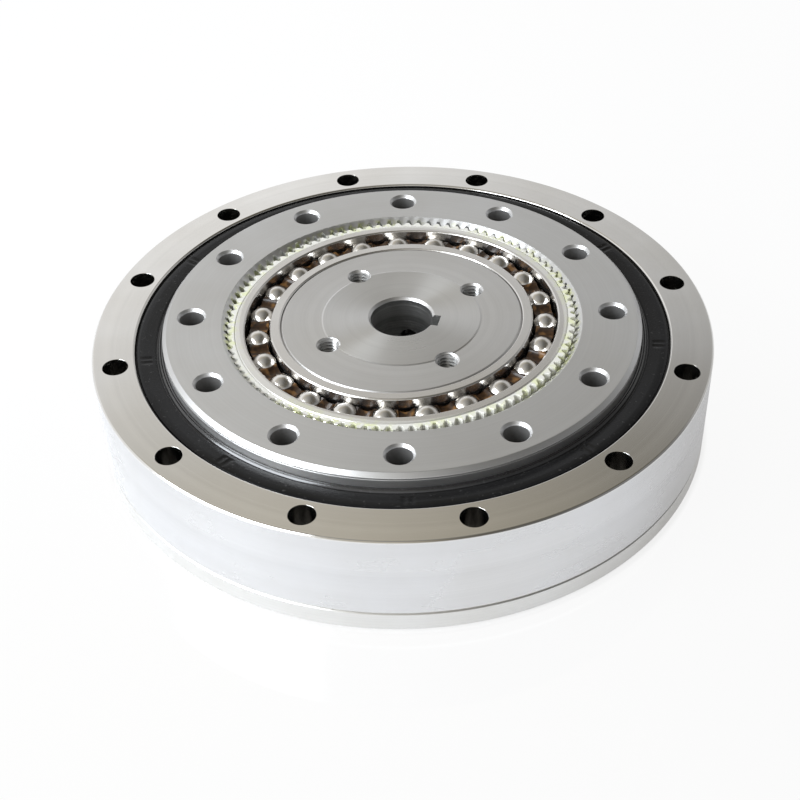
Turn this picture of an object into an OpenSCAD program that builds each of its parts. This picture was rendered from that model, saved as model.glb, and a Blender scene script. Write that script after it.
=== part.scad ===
// Flat strain wave gear unit with an integral crossed roller bearing.
// The flexspline is a shallow hat whose brim is fixed to the outer ring, the toothed output ring is also the
// bearing's inner ring, and an oval wave generator turns inside the flexspline.
// The origin is on the axis, in the plane that the brim stands on. Lengths are in millimetres.

/* [Teeth] */
// Tooth module of the spline pair
tooth_module = 0.61; // [0.59:0.01:0.62]
// Teeth on the flexspline, the output ring has two more
flex_teeth = 100; // [98:2:102]
// Height of a flexspline tooth above its pitch line
flex_addendum = 0.37; // [0.3:0.01:0.38]
// Height of an output ring tooth above its pitch line
ring_addendum = 0.35; // [0.3:0.01:0.36]
// Depth of a tooth space below the pitch line
tooth_dedendum = 0.5; // [0.45:0.01:0.6]
// Slope of the tooth flanks from the radial direction
flank_angle = 30; // [25:1:31]
// Play between a tooth and its space at the pitch line
tooth_backlash = 0.08; // [0.06:0.01:0.12]
// Length of the flexspline's teeth along the axis
tooth_length = 6.8; // [6:0.1:7.5]

/* [Outer ring] */
// Radial width of the outer ring's face
outer_ring_w = 7.5; // [7:0.1:9.5]
// Height of the outer ring
outer_ring_h = 16; // [15.5:0.1:16.5]
// How far the outer bolt holes' centres lie inside the edge
outer_bolt_inset = 4; // [3.7:0.1:4.2]
// Bolt holes round the outer ring
outer_bolt_count = 12; // [8:4:12]
// Diameter of the outer bolt holes
outer_hole_d = 4.5; // [3.4:0.1:5]
// Chamfer on the outer ring's upper edge
outer_chamfer = 0.3; // [0.2:0.1:0.8]

/* [Crossed roller bearing] */
// How far the rollers' circle lies outside the land that the seal runs on
track_offset = 2.1; // [2:0.05:2.2]
// Diameter of a roller
roller_d = 4; // [3.7:0.05:4]
// Number of rollers, half of them leaning each way
roller_count = 56; // [48:2:56]
// Height of the rollers' centres over the brim
roller_rise = 6; // [5.6:0.1:6.4]
// Radial gap between the two rings
ring_gap = 0.6; // [0.4:0.1:0.8]
// Running clearance between a roller and its track
roller_play = 0.05; // [0.05:0.01:0.08]
// Diameter of the filling plug of the outer ring
plug_d = 6.8; // [6.2:0.1:7.2]
// Diameter of the pin that locks the filling plug
plug_pin_d = 2; // [1.5:0.1:2.5]

/* [Output ring] */
// Height of the output ring's face over the outer ring
output_rise = 2.2; // [2:0.1:3]
// Radial width of the output ring from its mouth to the land that the seal runs on
output_ring_w = 10.5; // [9.5:0.1:12]
// Chamfer on the output ring's upper edge
output_chamfer = 0.75; // [0.4:0.05:1]
// How far the output holes' centres lie inside the land
output_bolt_inset = 5; // [4.8:0.1:5.4]
// Threaded holes in the output ring
output_bolt_count = 12; // [6:2:12]
// Crest diameter of the output threads
output_tap_d = 4.3; // [3.3:0.1:4.5]
// Depth of the output threads
output_tap_depth = 10; // [8:0.5:12]
// Angle of the first output hole at rest
output_phase = 17; // [0:0.5:29.5]
// Width of the chamfered mouth beyond the roots of the teeth
mouth_w = 0.39; // [0.3:0.01:0.7]

/* [Seal] */
// Radial width of the recess that holds the seal
seal_w = 5; // [4.6:0.1:5.4]
// Height of the recess that holds the seal
seal_h = 4.5; // [4.4:0.05:4.7]
// Depth of the seal's face under the outer ring's
seal_sink = 0.35; // [0.25:0.05:0.45]
// Thickness of the seal's lips
lip_wall = 0.5; // [0.4:0.05:0.6]
// How far the lips stand off the land in the unworn section
lip_rest = 0.1; // [0.05:0.05:0.2]
// Thickness of the steel ring in the seal
case_t = 0.5; // [0.4:0.05:0.6]
// Diameter of the garter spring's section
garter_d = 0.9; // [0.7:0.05:1]

/* [Flexspline] */
// Thickness of the brim
brim_h = 3.8; // [3.4:0.1:4.4]
// How far the brim stays inside the outer ring's edge
brim_inset = 0.02; // [0.01:0.01:0.04]
// Radial width of the brim
brim_w = 12.3; // [11.5:0.1:13.5]
// Thickness of the diaphragm where it meets the brim
diaphragm_h = 0.8; // [0.6:0.05:1]
// Depth of the diaphragm under the brim's face
diaphragm_sink = 0.4; // [0.3:0.05:0.5]
// Wall of the flexspline under its teeth
rim_wall = 0.45; // [0.4:0.01:0.5]
// Wall of the flexspline's tube
tube_wall = 0.35; // [0.3:0.01:0.38]
// Bend radius where the tube turns into the diaphragm
tube_bend = 1.5; // [1.2:0.1:1.8]
// Height of the output ring's face over the flexspline's end
rim_drop = 0.6; // [0.5:0.05:1]
// Section of the sealing ring under the outer ring
o_ring_d = 1.5; // [1.2:0.05:1.6]
// How far the middle of the sealing ring's section lies outside the outer ring's bore
o_ring_inset = 1.4; // [1.3:0.1:1.5]
// Thread diameter of the screws that hold the brim
brim_screw_d = 2.5; // [2:0.1:3]
// Length of the screws that hold the brim
brim_screw_l = 8; // [6:0.5:9]

/* [Wave generator] */
// Diameter of a bearing ball
ball_d = 4.76; // [4.5:0.01:4.9]
// Number of bearing balls
ball_count = 23; // [19:1:23]
// Wall of the outer race under its groove
outer_race_wall = 1.55; // [1.4:0.05:1.7]
// Wall of the inner race under its groove
inner_race_wall = 1.65; // [1.5:0.05:1.8]
// Width of both races
race_w = 5.8; // [5.6:0.1:6.2]
// Height of the race shoulders over the groove
race_shoulder = 0.4; // [0.3:0.05:0.5]
// Chamfer on the races' edges
race_chamfer = 0.4; // [0.2:0.05:0.5]
// Running clearance between a ball and its groove
ball_play = 0.06; // [0.06:0.01:0.1]
// Radial width of the ball cage
cage_w = 2.6; // [2.2:0.1:2.8]
// Height of the cage's edge over the balls' centres
cage_rise = 1; // [0.6:0.1:1.4]
// Thickness of the cage under the balls
cage_floor = 0.45; // [0.3:0.05:0.6]
// Clearance between a ball and its pocket in the cage
pocket_play = 0.1; // [0.05:0.01:0.15]
// Depth of the saddle in each bar of the cage
saddle_depth = 0.5; // [0.3:0.1:0.7]
// Diameter of the round tool that cuts the saddles
saddle_d = 3; // [2.4:0.2:3.6]
// Angle of the first ball at rest
ball_phase = 2; // [0:0.5:15.5]
// Height of the output ring's face over the races
race_drop = 0.5; // [0.4:0.05:0.9]

/* [Hub] */
// Bore for the input shaft
bore_d = 11; // [8:0.5:12]
// Width of the keyway
key_w = 3; // [2:0.5:4]
// Depth of the keyway beyond the bore
key_depth = 1.4; // [1:0.1:1.8]
// Bolt circle of the hub's threaded holes
hub_bolt_circle = 30; // [29:0.5:31]
// Threaded holes in the hub
hub_bolt_count = 4; // [2:2:4]
// Crest diameter of the hub's threads
hub_tap_d = 3.3; // [2.5:0.1:3.5]
// Angle of the first hub hole at rest
hub_phase = 19; // [0:0.5:89.5]
// Angle from the first hub hole to the oval's long axis
lobe_offset = 10; // [0:0.5:45]
// Diameter of the raised middle of the hub's face
face_step_d = 28; // [24:0.5:28.5]
// Height of the raised middle of the hub's face
face_step_h = 0.1; // [0.05:0.05:0.2]
// Diameter of the hub's boss
boss_d = 23; // [20:0.5:24]
// Height of the hub's boss under the races
boss_h = 6.5; // [5:0.5:8]
// Height of the lip that the inner race stands on
hub_lip_h = 0.5; // [0.3:0.1:0.8]
// Chamfer at both ends of the bore
bore_chamfer = 0.4; // [0.2:0.1:0.6]
// Thread diameter of the set screws
set_screw_d = 4; // [3:0.5:4]
// Length of the set screws
set_screw_l = 4; // [3:0.5:4.5]

/* [Hidden] */
$fn = 96;

// Small working values that several pieces share
fit = 0.02;
cut = 1;
seat_play = 0.03;
running_gap = 0.8;
edge = 0.3;
thread_chamfer = 0.35;

// Heights of the stack
outer_top = brim_h + outer_ring_h;
unit_h = outer_top + output_rise;
roller_z = brim_h + roller_rise;
seal_z = outer_top - seal_h;
race_top = unit_h - race_drop;
race_z = race_top - race_w;
ball_z = race_top - race_w / 2;
rim_top = unit_h - rim_drop;
rim_z = rim_top - tooth_length;
output_z = brim_h + running_gap;

// Radii of the teeth. The lobe height is the difference of the pitch radii, so the teeth mesh at both lobes.
ring_teeth = flex_teeth + 2;
flex_pitch_r = tooth_module * flex_teeth / 2;
ring_pitch_r = tooth_module * ring_teeth / 2;
lobe_h = ring_pitch_r - flex_pitch_r;
flex_tip_r = flex_pitch_r + flex_addendum;
flex_root_r = flex_pitch_r - tooth_dedendum + fit * 2;
ring_tip_r = ring_pitch_r - ring_addendum;
ring_root_r = ring_pitch_r + tooth_dedendum;
rim_bore_r = flex_root_r - rim_wall;
neutral_r = rim_bore_r + rim_wall / 2;
lobe_angle = hub_phase + lobe_offset;

// Radii of the wave generator before it is made oval
ball_path_r = rim_bore_r - fit - outer_race_wall - ball_play - ball_d / 2;
outer_groove_r = ball_path_r + ball_d / 2 + ball_play;
inner_groove_r = ball_path_r - ball_d / 2 - ball_play;
cam_r = inner_groove_r - inner_race_wall;
oval = lobe_h / rim_bore_r;

// Radii of the rings, counted outwards from the teeth
mouth_r = ring_root_r + mouth_w;
land_r = mouth_r + output_ring_w;
output_bolt_r = land_r - output_bolt_inset;
seal_bore_r = land_r + seal_w;
unit_r = seal_bore_r + outer_ring_w;
outer_bolt_r = unit_r - outer_bolt_inset;
brim_r = unit_r - brim_inset;

// Crossed roller tracks
roller_circle_r = land_r + track_offset;
inner_land_r = roller_circle_r - ring_gap / 2;
outer_land_r = roller_circle_r + ring_gap / 2;
roller_pitch = 360 / roller_count;
roller_chamfer = 0.15;
roller_end_play = 0.25;
roller_length = roller_d - roller_end_play;
track_relief = 0.8;
plug_pin_l = roller_rise + plug_d / 2 + plug_pin_d;

// Section of the seal
seal_lip_r = land_r + lip_rest;
seal_outer_r = seal_bore_r - seat_play;
seal_cover = 0.6;
garter_inset = 1.4;
garter_rise = 1.2;
case_inset = 1.6;
case_drop = 1.4;
garter_r = seal_lip_r + garter_inset;
garter_z = seal_z + garter_rise;
case_inner_r = seal_lip_r + case_inset;
case_shelf_z = outer_top - case_drop;

// Section of the flexspline's hat
diaphragm_z = brim_h - diaphragm_sink;
bend_r = flex_root_r + tube_bend;
bend_z = diaphragm_z + tube_bend;
stub_h = 1.2;
brim_fillet = 1.2;
o_ring_r = outer_land_r + o_ring_inset;

// Countersunk heads of the brim's screws
head_r = brim_screw_d * 0.95;
head_h = 1.5;
head_rim = 0.2;
head_sink = 0.1;
socket_d = brim_screw_d * 0.7;
socket_h = 1;

// Angles of the pieces that lie between the outer bolt holes
outer_pitch = 360 / outer_bolt_count;
plug_angle = 2.5 * outer_pitch;
brim_screw_count = 4;
brim_screw_phase = outer_pitch * 1.5;

// Repeats its children round the axis
module around(count, radius, phase = 0) {
    for (i = [0 : count - 1])
        rotate([0, 0, phase + i * 360 / count])
            translate([radius, 0, 0])
                children();
}

// Stretches its children along the long axis of the wave generator's oval and narrows them across it
module oval_shape() {
    rotate([0, 0, lobe_angle])
        scale([1 + oval, 1 - oval, 1])
            rotate([0, 0, -lobe_angle])
                children();
}

// Hole with a chamfered mouth, drilled down from height z
module tapped_hole(d, depth, z, chamfer) {
    translate([0, 0, z - depth])
        cylinder(d = d, h = depth + cut);
    translate([0, 0, z - chamfer])
        cylinder(d1 = d, d2 = d + 2 * chamfer + 2 * edge, h = chamfer + edge);
}

function polar(r, a) = [r * cos(a), r * sin(a)];

// Point of the flexspline's rim that lies at radius r and angle a before the oval bends it.
// The rim moves in and out by the lobe height, shifts sideways so that its length stays the same, and tilts.
function bent(r, a, lobe = lobe_h) =
    let (swing = 2 * (a - lobe_angle))
    let (shift = -lobe / 2 * sin(swing) / neutral_r * 180 / PI)
    let (tilt = 2 * lobe * sin(swing) / neutral_r * 180 / PI)
    polar(neutral_r + lobe * cos(swing), a + shift) + polar(r - neutral_r, a + shift + tilt);

// Half the angle that a width takes up at a radius
function half_angle(width, r) = width / 2 / r * 180 / PI;

// ---- Outer ring of the bearing and what it carries ----

// Square track at 45 degrees that the rollers run in, with a relief at its inner and outer corner
module roller_track() {
    side = roller_d + 2 * roller_play;
    rotate_extrude()
        translate([roller_circle_r, roller_z]) {
            rotate(45)
                square(side, center = true);
            square([side * sqrt(2) + track_relief / 2, track_relief], center = true);
        }
}

module outer_ring_blank() {
    difference() {
        rotate_extrude()
            polygon([
                [outer_land_r, brim_h],
                [unit_r - edge, brim_h],
                [unit_r, brim_h + edge],
                [unit_r, outer_top - outer_chamfer],
                [unit_r - outer_chamfer, outer_top],
                [seal_bore_r + edge, outer_top],
                [seal_bore_r, outer_top - edge],
                [seal_bore_r, seal_z],
                [outer_land_r, seal_z]
            ]);
        roller_track();
    }
}

module plug_space(d) {
    rotate([0, 0, plug_angle])
        translate([roller_circle_r, 0, roller_z])
            rotate([0, 90, 0])
                cylinder(d = d, h = unit_r);
}

module plug_pin_space(d, h) {
    rotate([0, 0, plug_angle])
        translate([outer_bolt_r, 0, brim_h])
            cylinder(d = d, h = h);
}

module outer_ring() {
    color("lightgray")
        difference() {
            outer_ring_blank();
            around(outer_bolt_count, outer_bolt_r)
                translate([0, 0, brim_h - cut])
                    cylinder(d = outer_hole_d, h = outer_ring_h + 2 * cut);
            plug_space(plug_d + 2 * fit);
            plug_pin_space(plug_pin_d + 2 * fit, plug_pin_l);
            around(brim_screw_count, outer_bolt_r, brim_screw_phase)
                translate([0, 0, brim_h - cut])
                    cylinder(d = brim_screw_d + 2 * seat_play, h = brim_screw_l - brim_h + cut + edge);
            o_ring_groove();
        }
}

// Cylinder set in from the rim to close the hole that the rollers go in by. It carries its share of the track.
module roller_plug() {
    color("silver")
        difference() {
            intersection() {
                outer_ring_blank();
                plug_space(plug_d);
                cylinder(r = unit_r - edge, h = unit_h);
            }
            plug_pin_space(plug_pin_d + 2 * fit, plug_pin_l);
        }
}

module plug_pin() {
    color("gray")
        plug_pin_space(plug_pin_d, plug_pin_l - fit);
}

// ---- Rollers ----

// Roller with small chamfers, centred on the origin and standing on its end
module roller() {
    r = roller_d / 2;
    h = roller_length / 2;
    rotate_extrude()
        polygon([
            [0, -h],
            [r - roller_chamfer, -h],
            [r, roller_chamfer - h],
            [r, h - roller_chamfer],
            [r - roller_chamfer, h],
            [0, h]
        ]);
}

module roller_row(lean, phase) {
    color("gainsboro")
        around(roller_count / 2, roller_circle_r, phase)
            translate([0, 0, roller_z])
                rotate([0, lean, 0])
                    roller();
}

module rollers_out() {
    roller_row(45, 0);
}

module rollers_in() {
    roller_row(-45, roller_pitch);
}

// Plastic spacers, each hollowed on both sides for the roller there
module roller_spacers() {
    spacer_d = roller_d - edge;
    hollow = 0.72 * roller_d;
    spacer_l = roller_circle_r * 2 * sin(roller_pitch / 2) - hollow;
    color("tan")
        for (i = [0 : roller_count - 1])
            difference() {
                rotate([0, 0, (i + 0.5) * roller_pitch])
                    translate([roller_circle_r, 0, roller_z])
                        rotate([90, 0, 0])
                            cylinder(d = spacer_d, h = spacer_l, center = true);
                for (side = [0, 1])
                    rotate([0, 0, (i + side) * roller_pitch])
                        translate([roller_circle_r, 0, roller_z])
                            rotate([0, (i + side) % 2 == 0 ? 45 : -45, 0])
                                cylinder(d = roller_d + 2 * roller_play, h = 2 * roller_d, center = true);
            }
}

// ---- Output ring ----

// Outline of the hole between the output ring's teeth, with a space at the lobe
module ring_tooth_outline() {
    pitch = PI * tooth_module;
    slope = tan(flank_angle);
    mouth = half_angle(pitch / 2 + 2 * ring_addendum * slope, ring_tip_r);
    floor_half = half_angle(pitch / 2 - 2 * tooth_dedendum * slope, ring_root_r);
    polygon([
        for (i = [0 : ring_teeth - 1])
            let (a = lobe_angle + i * 360 / ring_teeth)
            for (p = [[ring_tip_r, -mouth], [ring_root_r, -floor_half], [ring_root_r, floor_half],
                    [ring_tip_r, mouth]])
                polar(p[0], a + p[1])
    ]);
}

module output_ring() {
    tooth_z = rim_z - edge;
    clear_bore_r = mouth_r + edge;
    low_chamfer = 2 * edge;
    color("lightgray")
        difference() {
            rotate_extrude()
                polygon([
                    [clear_bore_r, output_z],
                    [inner_land_r - low_chamfer, output_z],
                    [inner_land_r, output_z + low_chamfer],
                    [inner_land_r, seal_z - edge],
                    [land_r, seal_z - edge],
                    [land_r, unit_h - output_chamfer],
                    [land_r - output_chamfer, unit_h],
                    [ring_tip_r - cut / 2, unit_h],
                    [ring_tip_r - cut / 2, tooth_z],
                    [clear_bore_r, tooth_z]
                ]);
            roller_track();
            translate([0, 0, tooth_z - cut])
                linear_extrude(unit_h - tooth_z + 2 * cut)
                    ring_tooth_outline();
            translate([0, 0, unit_h - (mouth_r - ring_tip_r)])
                cylinder(r1 = ring_tip_r, r2 = mouth_r + cut, h = mouth_r + cut - ring_tip_r);
            around(output_bolt_count, output_bolt_r, output_phase)
                tapped_hole(output_tap_d, output_tap_depth, unit_h, thread_chamfer);
        }
}

// ---- Seal ----

// Section of the pressed steel ring inside the seal
module case_section(grow = 0) {
    outer = seal_outer_r - seal_cover;
    foot_z = seal_z + edge;
    polygon([
        [outer - case_t - grow, foot_z - grow],
        [outer + grow, foot_z - grow],
        [outer + grow, case_shelf_z + case_t + grow],
        [case_inner_r - grow, case_shelf_z + case_t + grow],
        [case_inner_r - grow, case_shelf_z - grow],
        [outer - case_t - grow, case_shelf_z - grow]
    ]);
}

// Moulded rubber body with a main lip on the land and a dust lip above it
module seal_lip() {
    crown_z = outer_top - seal_sink;
    dip_z = crown_z - edge;
    body_z = case_shelf_z - lip_wall;
    foot_r = seal_outer_r - seal_cover - case_t - lip_wall;
    color("dimgray")
        rotate_extrude()
            difference() {
                polygon([
                    [seal_outer_r, seal_z],
                    [seal_outer_r, dip_z],
                    [seal_outer_r - edge, crown_z],
                    [seal_outer_r - 3 * edge, crown_z],
                    [garter_r, dip_z],
                    [garter_r - lip_wall, dip_z - edge],
                    [seal_lip_r + lip_wall, crown_z],
                    [seal_lip_r + lip_wall / 2, crown_z],
                    [seal_lip_r, crown_z - edge / 2],
                    [seal_lip_r, dip_z],
                    [seal_lip_r + lip_wall, case_shelf_z],
                    [seal_lip_r + lip_wall, garter_z + lip_wall],
                    [seal_lip_r, garter_z],
                    [seal_lip_r, garter_z - edge],
                    [garter_r - 3 * edge, seal_z + lip_wall],
                    [garter_r, seal_z + lip_wall],
                    [garter_r, body_z],
                    [foot_r, body_z],
                    [foot_r, seal_z]
                ]);
                case_section(fit / 2);
                translate([garter_r, garter_z])
                    circle(d = garter_d + 2 * fit);
            }
}

module seal_case() {
    color("silver")
        rotate_extrude()
            case_section();
}

module seal_spring() {
    color("silver")
        rotate_extrude()
            translate([garter_r, garter_z])
                circle(d = garter_d);
}

// ---- Flexspline ----

// Points of an arc, for the bends of the flexspline's section
function arc(c, r, from, to, steps = 6) =
    [for (i = [0 : steps]) c + polar(r, from + (to - from) * i / steps)];

// Section of the brim, the diaphragm and the foot of the tube
module hat_section() {
    bore = brim_r - brim_w;
    web_z = diaphragm_z - diaphragm_h;
    polygon(concat(
        arc([bend_r, bend_z], tube_bend + rim_wall, 180, 270),
        arc([bore - brim_fillet, web_z - brim_fillet], brim_fillet, 90, 0),
        [
            [bore, edge],
            [bore + edge, 0],
            [brim_r - outer_chamfer, 0],
            [brim_r, outer_chamfer],
            [brim_r, brim_h],
            [outer_land_r - edge, brim_h],
            [outer_land_r - 3 * edge, diaphragm_z]
        ],
        arc([bend_r, bend_z], tube_bend, 270, 180),
        [[flex_root_r, bend_z + stub_h], [rim_bore_r, bend_z + stub_h]]
    ));
}

// Wall of the tube, round at its foot and oval where it meets the toothed rim
module tube_loft() {
    n = flex_teeth;
    inner = rim_bore_r + (rim_wall - tube_wall) / 2;
    outer = inner + tube_wall;
    low = bend_z + stub_h / 2;
    high = rim_z + stub_h / 2;
    rings = [[inner, low, 0], [outer, low, 0], [outer, high, lobe_h], [inner, high, lobe_h]];
    points = [
        for (ring = rings)
            for (i = [0 : n - 1])
                let (p = bent(ring[0], i * 360 / n, ring[2]))
                [p[0], p[1], ring[1]]
    ];
    faces = [
        for (k = [0 : 3])
            for (i = [0 : n - 1])
                let (j = (i + 1) % n)
                let (m = (k + 1) % 4)
                [k * n + i, m * n + i, m * n + j, k * n + j]
    ];
    polyhedron(points, faces);
}

// Outline of the toothed rim in its oval shape, with a tooth at each lobe
module flex_tooth_outline() {
    pitch = PI * tooth_module;
    slope = tan(flank_angle);
    tooth = pitch / 2 - tooth_backlash;
    tip_half = half_angle(tooth - 2 * flex_addendum * slope, flex_tip_r);
    root_half = half_angle(tooth + 2 * (flex_pitch_r - flex_root_r) * slope, flex_root_r);
    polygon([
        for (i = [0 : flex_teeth - 1])
            let (a = lobe_angle + i * 360 / flex_teeth)
            for (p = [[flex_root_r, -root_half], [flex_tip_r, -tip_half], [flex_tip_r, tip_half],
                    [flex_root_r, root_half]])
                bent(p[0], a + p[1])
    ]);
}

module rim_bore_outline() {
    n = 2 * flex_teeth;
    polygon([for (i = [0 : n - 1]) bent(rim_bore_r, i * 360 / n)]);
}

module flexspline() {
    color("silver")
        difference() {
            union() {
                rotate_extrude()
                    hat_section();
                tube_loft();
                translate([0, 0, rim_z])
                    linear_extrude(tooth_length)
                        difference() {
                            flex_tooth_outline();
                            rim_bore_outline();
                        }
            }
            around(outer_bolt_count, outer_bolt_r)
                translate([0, 0, -cut])
                    cylinder(d = outer_hole_d, h = brim_h + 2 * cut);
            around(brim_screw_count, outer_bolt_r, brim_screw_phase) {
                translate([0, 0, -cut])
                    cylinder(d = brim_screw_d + 2 * seat_play, h = brim_h + 2 * cut);
                brim_screw_seat();
            }
        }
}

// Countersunk head that lies just under the brim's face
module brim_screw_head() {
    translate([0, 0, head_sink])
        cylinder(r = head_r, h = head_rim);
    translate([0, 0, head_sink + head_rim])
        cylinder(r1 = head_r, r2 = brim_screw_d / 2, h = head_h - head_rim);
}

// Recess in the brim for such a head
module brim_screw_seat() {
    r = head_r + seat_play;
    translate([0, 0, -cut])
        cylinder(r = r, h = head_sink + head_rim + cut);
    translate([0, 0, head_sink + head_rim])
        cylinder(r1 = r, r2 = brim_screw_d / 2 + seat_play, h = head_h - head_rim);
}

module brim_screws() {
    color("dimgray")
        around(brim_screw_count, outer_bolt_r, brim_screw_phase)
            difference() {
                union() {
                    brim_screw_head();
                    translate([0, 0, head_sink])
                        cylinder(d = brim_screw_d, h = brim_screw_l);
                }
                translate([0, 0, head_sink - cut])
                    cylinder(d = socket_d, h = socket_h + cut, $fn = 6);
            }
}

// Groove in the outer ring's lower face and the sealing ring in it
module o_ring_groove() {
    groove_w = o_ring_d * 1.14;
    translate([0, 0, brim_h])
        rotate_extrude()
            translate([o_ring_r - groove_w / 2, -cut])
                square([groove_w, o_ring_d + 2 * fit + cut]);
}

module brim_o_ring() {
    color("black")
        rotate_extrude()
            translate([o_ring_r, brim_h + o_ring_d / 2 + fit])
                circle(d = o_ring_d);
}

// ---- Wave generator ----

module cam_hub() {
    top = race_top - face_step_h;
    foot = race_z - boss_h;
    r = cam_r - fit;
    color("silver")
        difference() {
            union() {
                oval_shape() {
                    translate([0, 0, race_z - hub_lip_h])
                        cylinder(r = cam_r + race_chamfer * 2, h = hub_lip_h);
                    translate([0, 0, race_z - hub_lip_h])
                        cylinder(r = r, h = top - edge - race_z + hub_lip_h);
                    translate([0, 0, top - edge])
                        cylinder(r1 = r, r2 = r - edge, h = edge);
                }
                translate([0, 0, foot])
                    cylinder(d1 = boss_d - 2 * edge, d2 = boss_d, h = edge);
                translate([0, 0, foot + edge])
                    cylinder(d = boss_d, h = boss_h);
                translate([0, 0, top - cut])
                    cylinder(d = face_step_d, h = face_step_h + cut);
            }
            translate([0, 0, foot - cut])
                cylinder(d = bore_d, h = race_w + boss_h + 2 * cut);
            translate([0, 0, race_top - bore_chamfer])
                cylinder(d1 = bore_d, d2 = bore_d + 2 * (bore_chamfer + cut), h = bore_chamfer + cut);
            translate([0, 0, foot - cut])
                cylinder(d1 = bore_d + 2 * (bore_chamfer + cut), d2 = bore_d, h = bore_chamfer + cut);
            rotate([0, 0, hub_phase - 45])
                translate([0, -key_w / 2, foot - cut])
                    cube([bore_d / 2 + key_depth, key_w, race_w + boss_h + 2 * cut]);
            around(hub_bolt_count, hub_bolt_circle / 2, hub_phase)
                tapped_hole(hub_tap_d, race_w + hub_lip_h + cut, race_top, thread_chamfer);
            around(2, 0, hub_phase + 45)
                translate([0, 0, foot + boss_h / 2])
                    rotate([0, 90, 0])
                        cylinder(d = set_screw_d + 2 * seat_play, h = boss_d);
        }
}

// Short grub screws in the boss, flush with its side
module set_screws() {
    color("dimgray")
        around(2, boss_d / 2 - set_screw_l - edge, hub_phase + 45)
            translate([0, 0, race_z - boss_h / 2])
                rotate([0, 90, 0])
                    difference() {
                        cylinder(d = set_screw_d, h = set_screw_l);
                        translate([0, 0, set_screw_l / 2])
                            cylinder(d = set_screw_d * 0.55, h = set_screw_l, $fn = 6);
                    }
}

// Section of a race from its plain side to its grooved side, centred on the balls' plane
module race_section(plain_r, land_r) {
    c = land_r > plain_r ? race_chamfer : -race_chamfer;
    h = race_w / 2;
    difference() {
        polygon([
            [plain_r, -h],
            [land_r - c, -h],
            [land_r, abs(c) - h],
            [land_r, h - abs(c)],
            [land_r - c, h],
            [plain_r, h]
        ]);
        translate([ball_path_r, 0])
            circle(d = ball_d + 2 * ball_play);
    }
}

module inner_race() {
    color("lightgray")
        translate([0, 0, ball_z])
            oval_shape()
                rotate_extrude()
                    race_section(cam_r, inner_groove_r + race_shoulder);
}

module outer_race() {
    color("lightgray")
        translate([0, 0, ball_z])
            oval_shape()
                rotate_extrude()
                    race_section(rim_bore_r - fit, outer_groove_r - race_shoulder);
}

// Places its children on the oval path, at each ball's centre or a share of the pitch further
module at_balls(share = 0) {
    for (i = [0 : ball_count - 1])
        let (a = (i + share) * 360 / ball_count - lobe_angle + ball_phase)
        let (p = [ball_path_r * (1 + oval) * cos(a), ball_path_r * (1 - oval) * sin(a)])
        rotate([0, 0, lobe_angle])
            translate([p[0], p[1], ball_z])
                rotate([0, 0, a])
                    children();
}

module balls() {
    color("white")
        at_balls()
            sphere(d = ball_d);
}

module ball_cage() {
    h = ball_d / 2 + cage_floor + cage_rise;
    color("saddlebrown")
        difference() {
            oval_shape()
                translate([0, 0, ball_z - ball_d / 2 - cage_floor])
                    difference() {
                        cylinder(r = ball_path_r + cage_w / 2, h = h);
                        translate([0, 0, -cut])
                            cylinder(r = ball_path_r - cage_w / 2, h = h + 2 * cut);
                    }
            at_balls()
                sphere(d = ball_d + 2 * pocket_play);
            at_balls(0.5)
                translate([0, 0, cage_rise - saddle_depth + saddle_d / 2])
                    rotate([0, 90, 0])
                        cylinder(d = saddle_d, h = 2 * cage_w, center = true);
        }
}

outer_ring();
roller_plug();
plug_pin();
output_ring();
rollers_out();
rollers_in();
roller_spacers();
seal_lip();
seal_case();
seal_spring();
flexspline();
brim_o_ring();
brim_screws();
cam_hub();
inner_race();
balls();
ball_cage();
outer_race();
set_screws();
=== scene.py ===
"""Looks of a flat strain wave gear unit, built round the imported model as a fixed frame.

Lengths in the classes are millimetres, as in the part's source, and MM turns them into scene metres.
Sections are lists of (radius, height) pairs that run counter-clockwise, so that faces point outwards.
"""

import logging
import math
from dataclasses import dataclass
from enum import Enum
from functools import cache
from typing import Callable, Optional, Sequence, Union

import bmesh
import bpy
from mathutils import Matrix, Vector


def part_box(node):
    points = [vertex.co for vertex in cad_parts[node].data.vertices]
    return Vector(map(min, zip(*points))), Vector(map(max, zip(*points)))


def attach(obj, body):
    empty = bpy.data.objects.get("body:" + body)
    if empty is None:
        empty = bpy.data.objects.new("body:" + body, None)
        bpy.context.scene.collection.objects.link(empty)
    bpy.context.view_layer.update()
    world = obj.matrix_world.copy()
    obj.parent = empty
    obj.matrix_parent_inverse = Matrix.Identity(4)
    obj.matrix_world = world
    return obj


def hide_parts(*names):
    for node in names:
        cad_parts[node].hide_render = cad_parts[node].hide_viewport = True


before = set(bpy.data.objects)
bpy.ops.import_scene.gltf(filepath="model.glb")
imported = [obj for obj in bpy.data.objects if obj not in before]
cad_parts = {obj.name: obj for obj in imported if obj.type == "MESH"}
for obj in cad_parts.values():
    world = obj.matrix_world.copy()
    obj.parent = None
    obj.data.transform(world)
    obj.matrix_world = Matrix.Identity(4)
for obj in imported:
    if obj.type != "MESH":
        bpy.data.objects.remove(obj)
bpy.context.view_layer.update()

MM = 0.001
TURN = 2 * math.pi
PAST = 1.0  # How far a cutter reaches past the face that it cuts through.
LYING = Matrix.Rotation(math.pi / 2, 4, "Y")  # Lays an upright solid along the x axis.
STEEP = 0.5  # A face that faces up or down by less than this is a wall.
LOG = logging.getLogger("strain_wave_gear")

Point = tuple[float, float]
Colour = tuple[float, float, float]
Mesh = bpy.types.Mesh
Piece = bpy.types.Object
Material = bpy.types.Material
Tree = bpy.types.NodeTree
Node = bpy.types.Node
Socket = bpy.types.NodeSocket
Value = Union["Signal", Socket, float, int, tuple]
Radius = Union[float, Callable[[float], float]]


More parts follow.
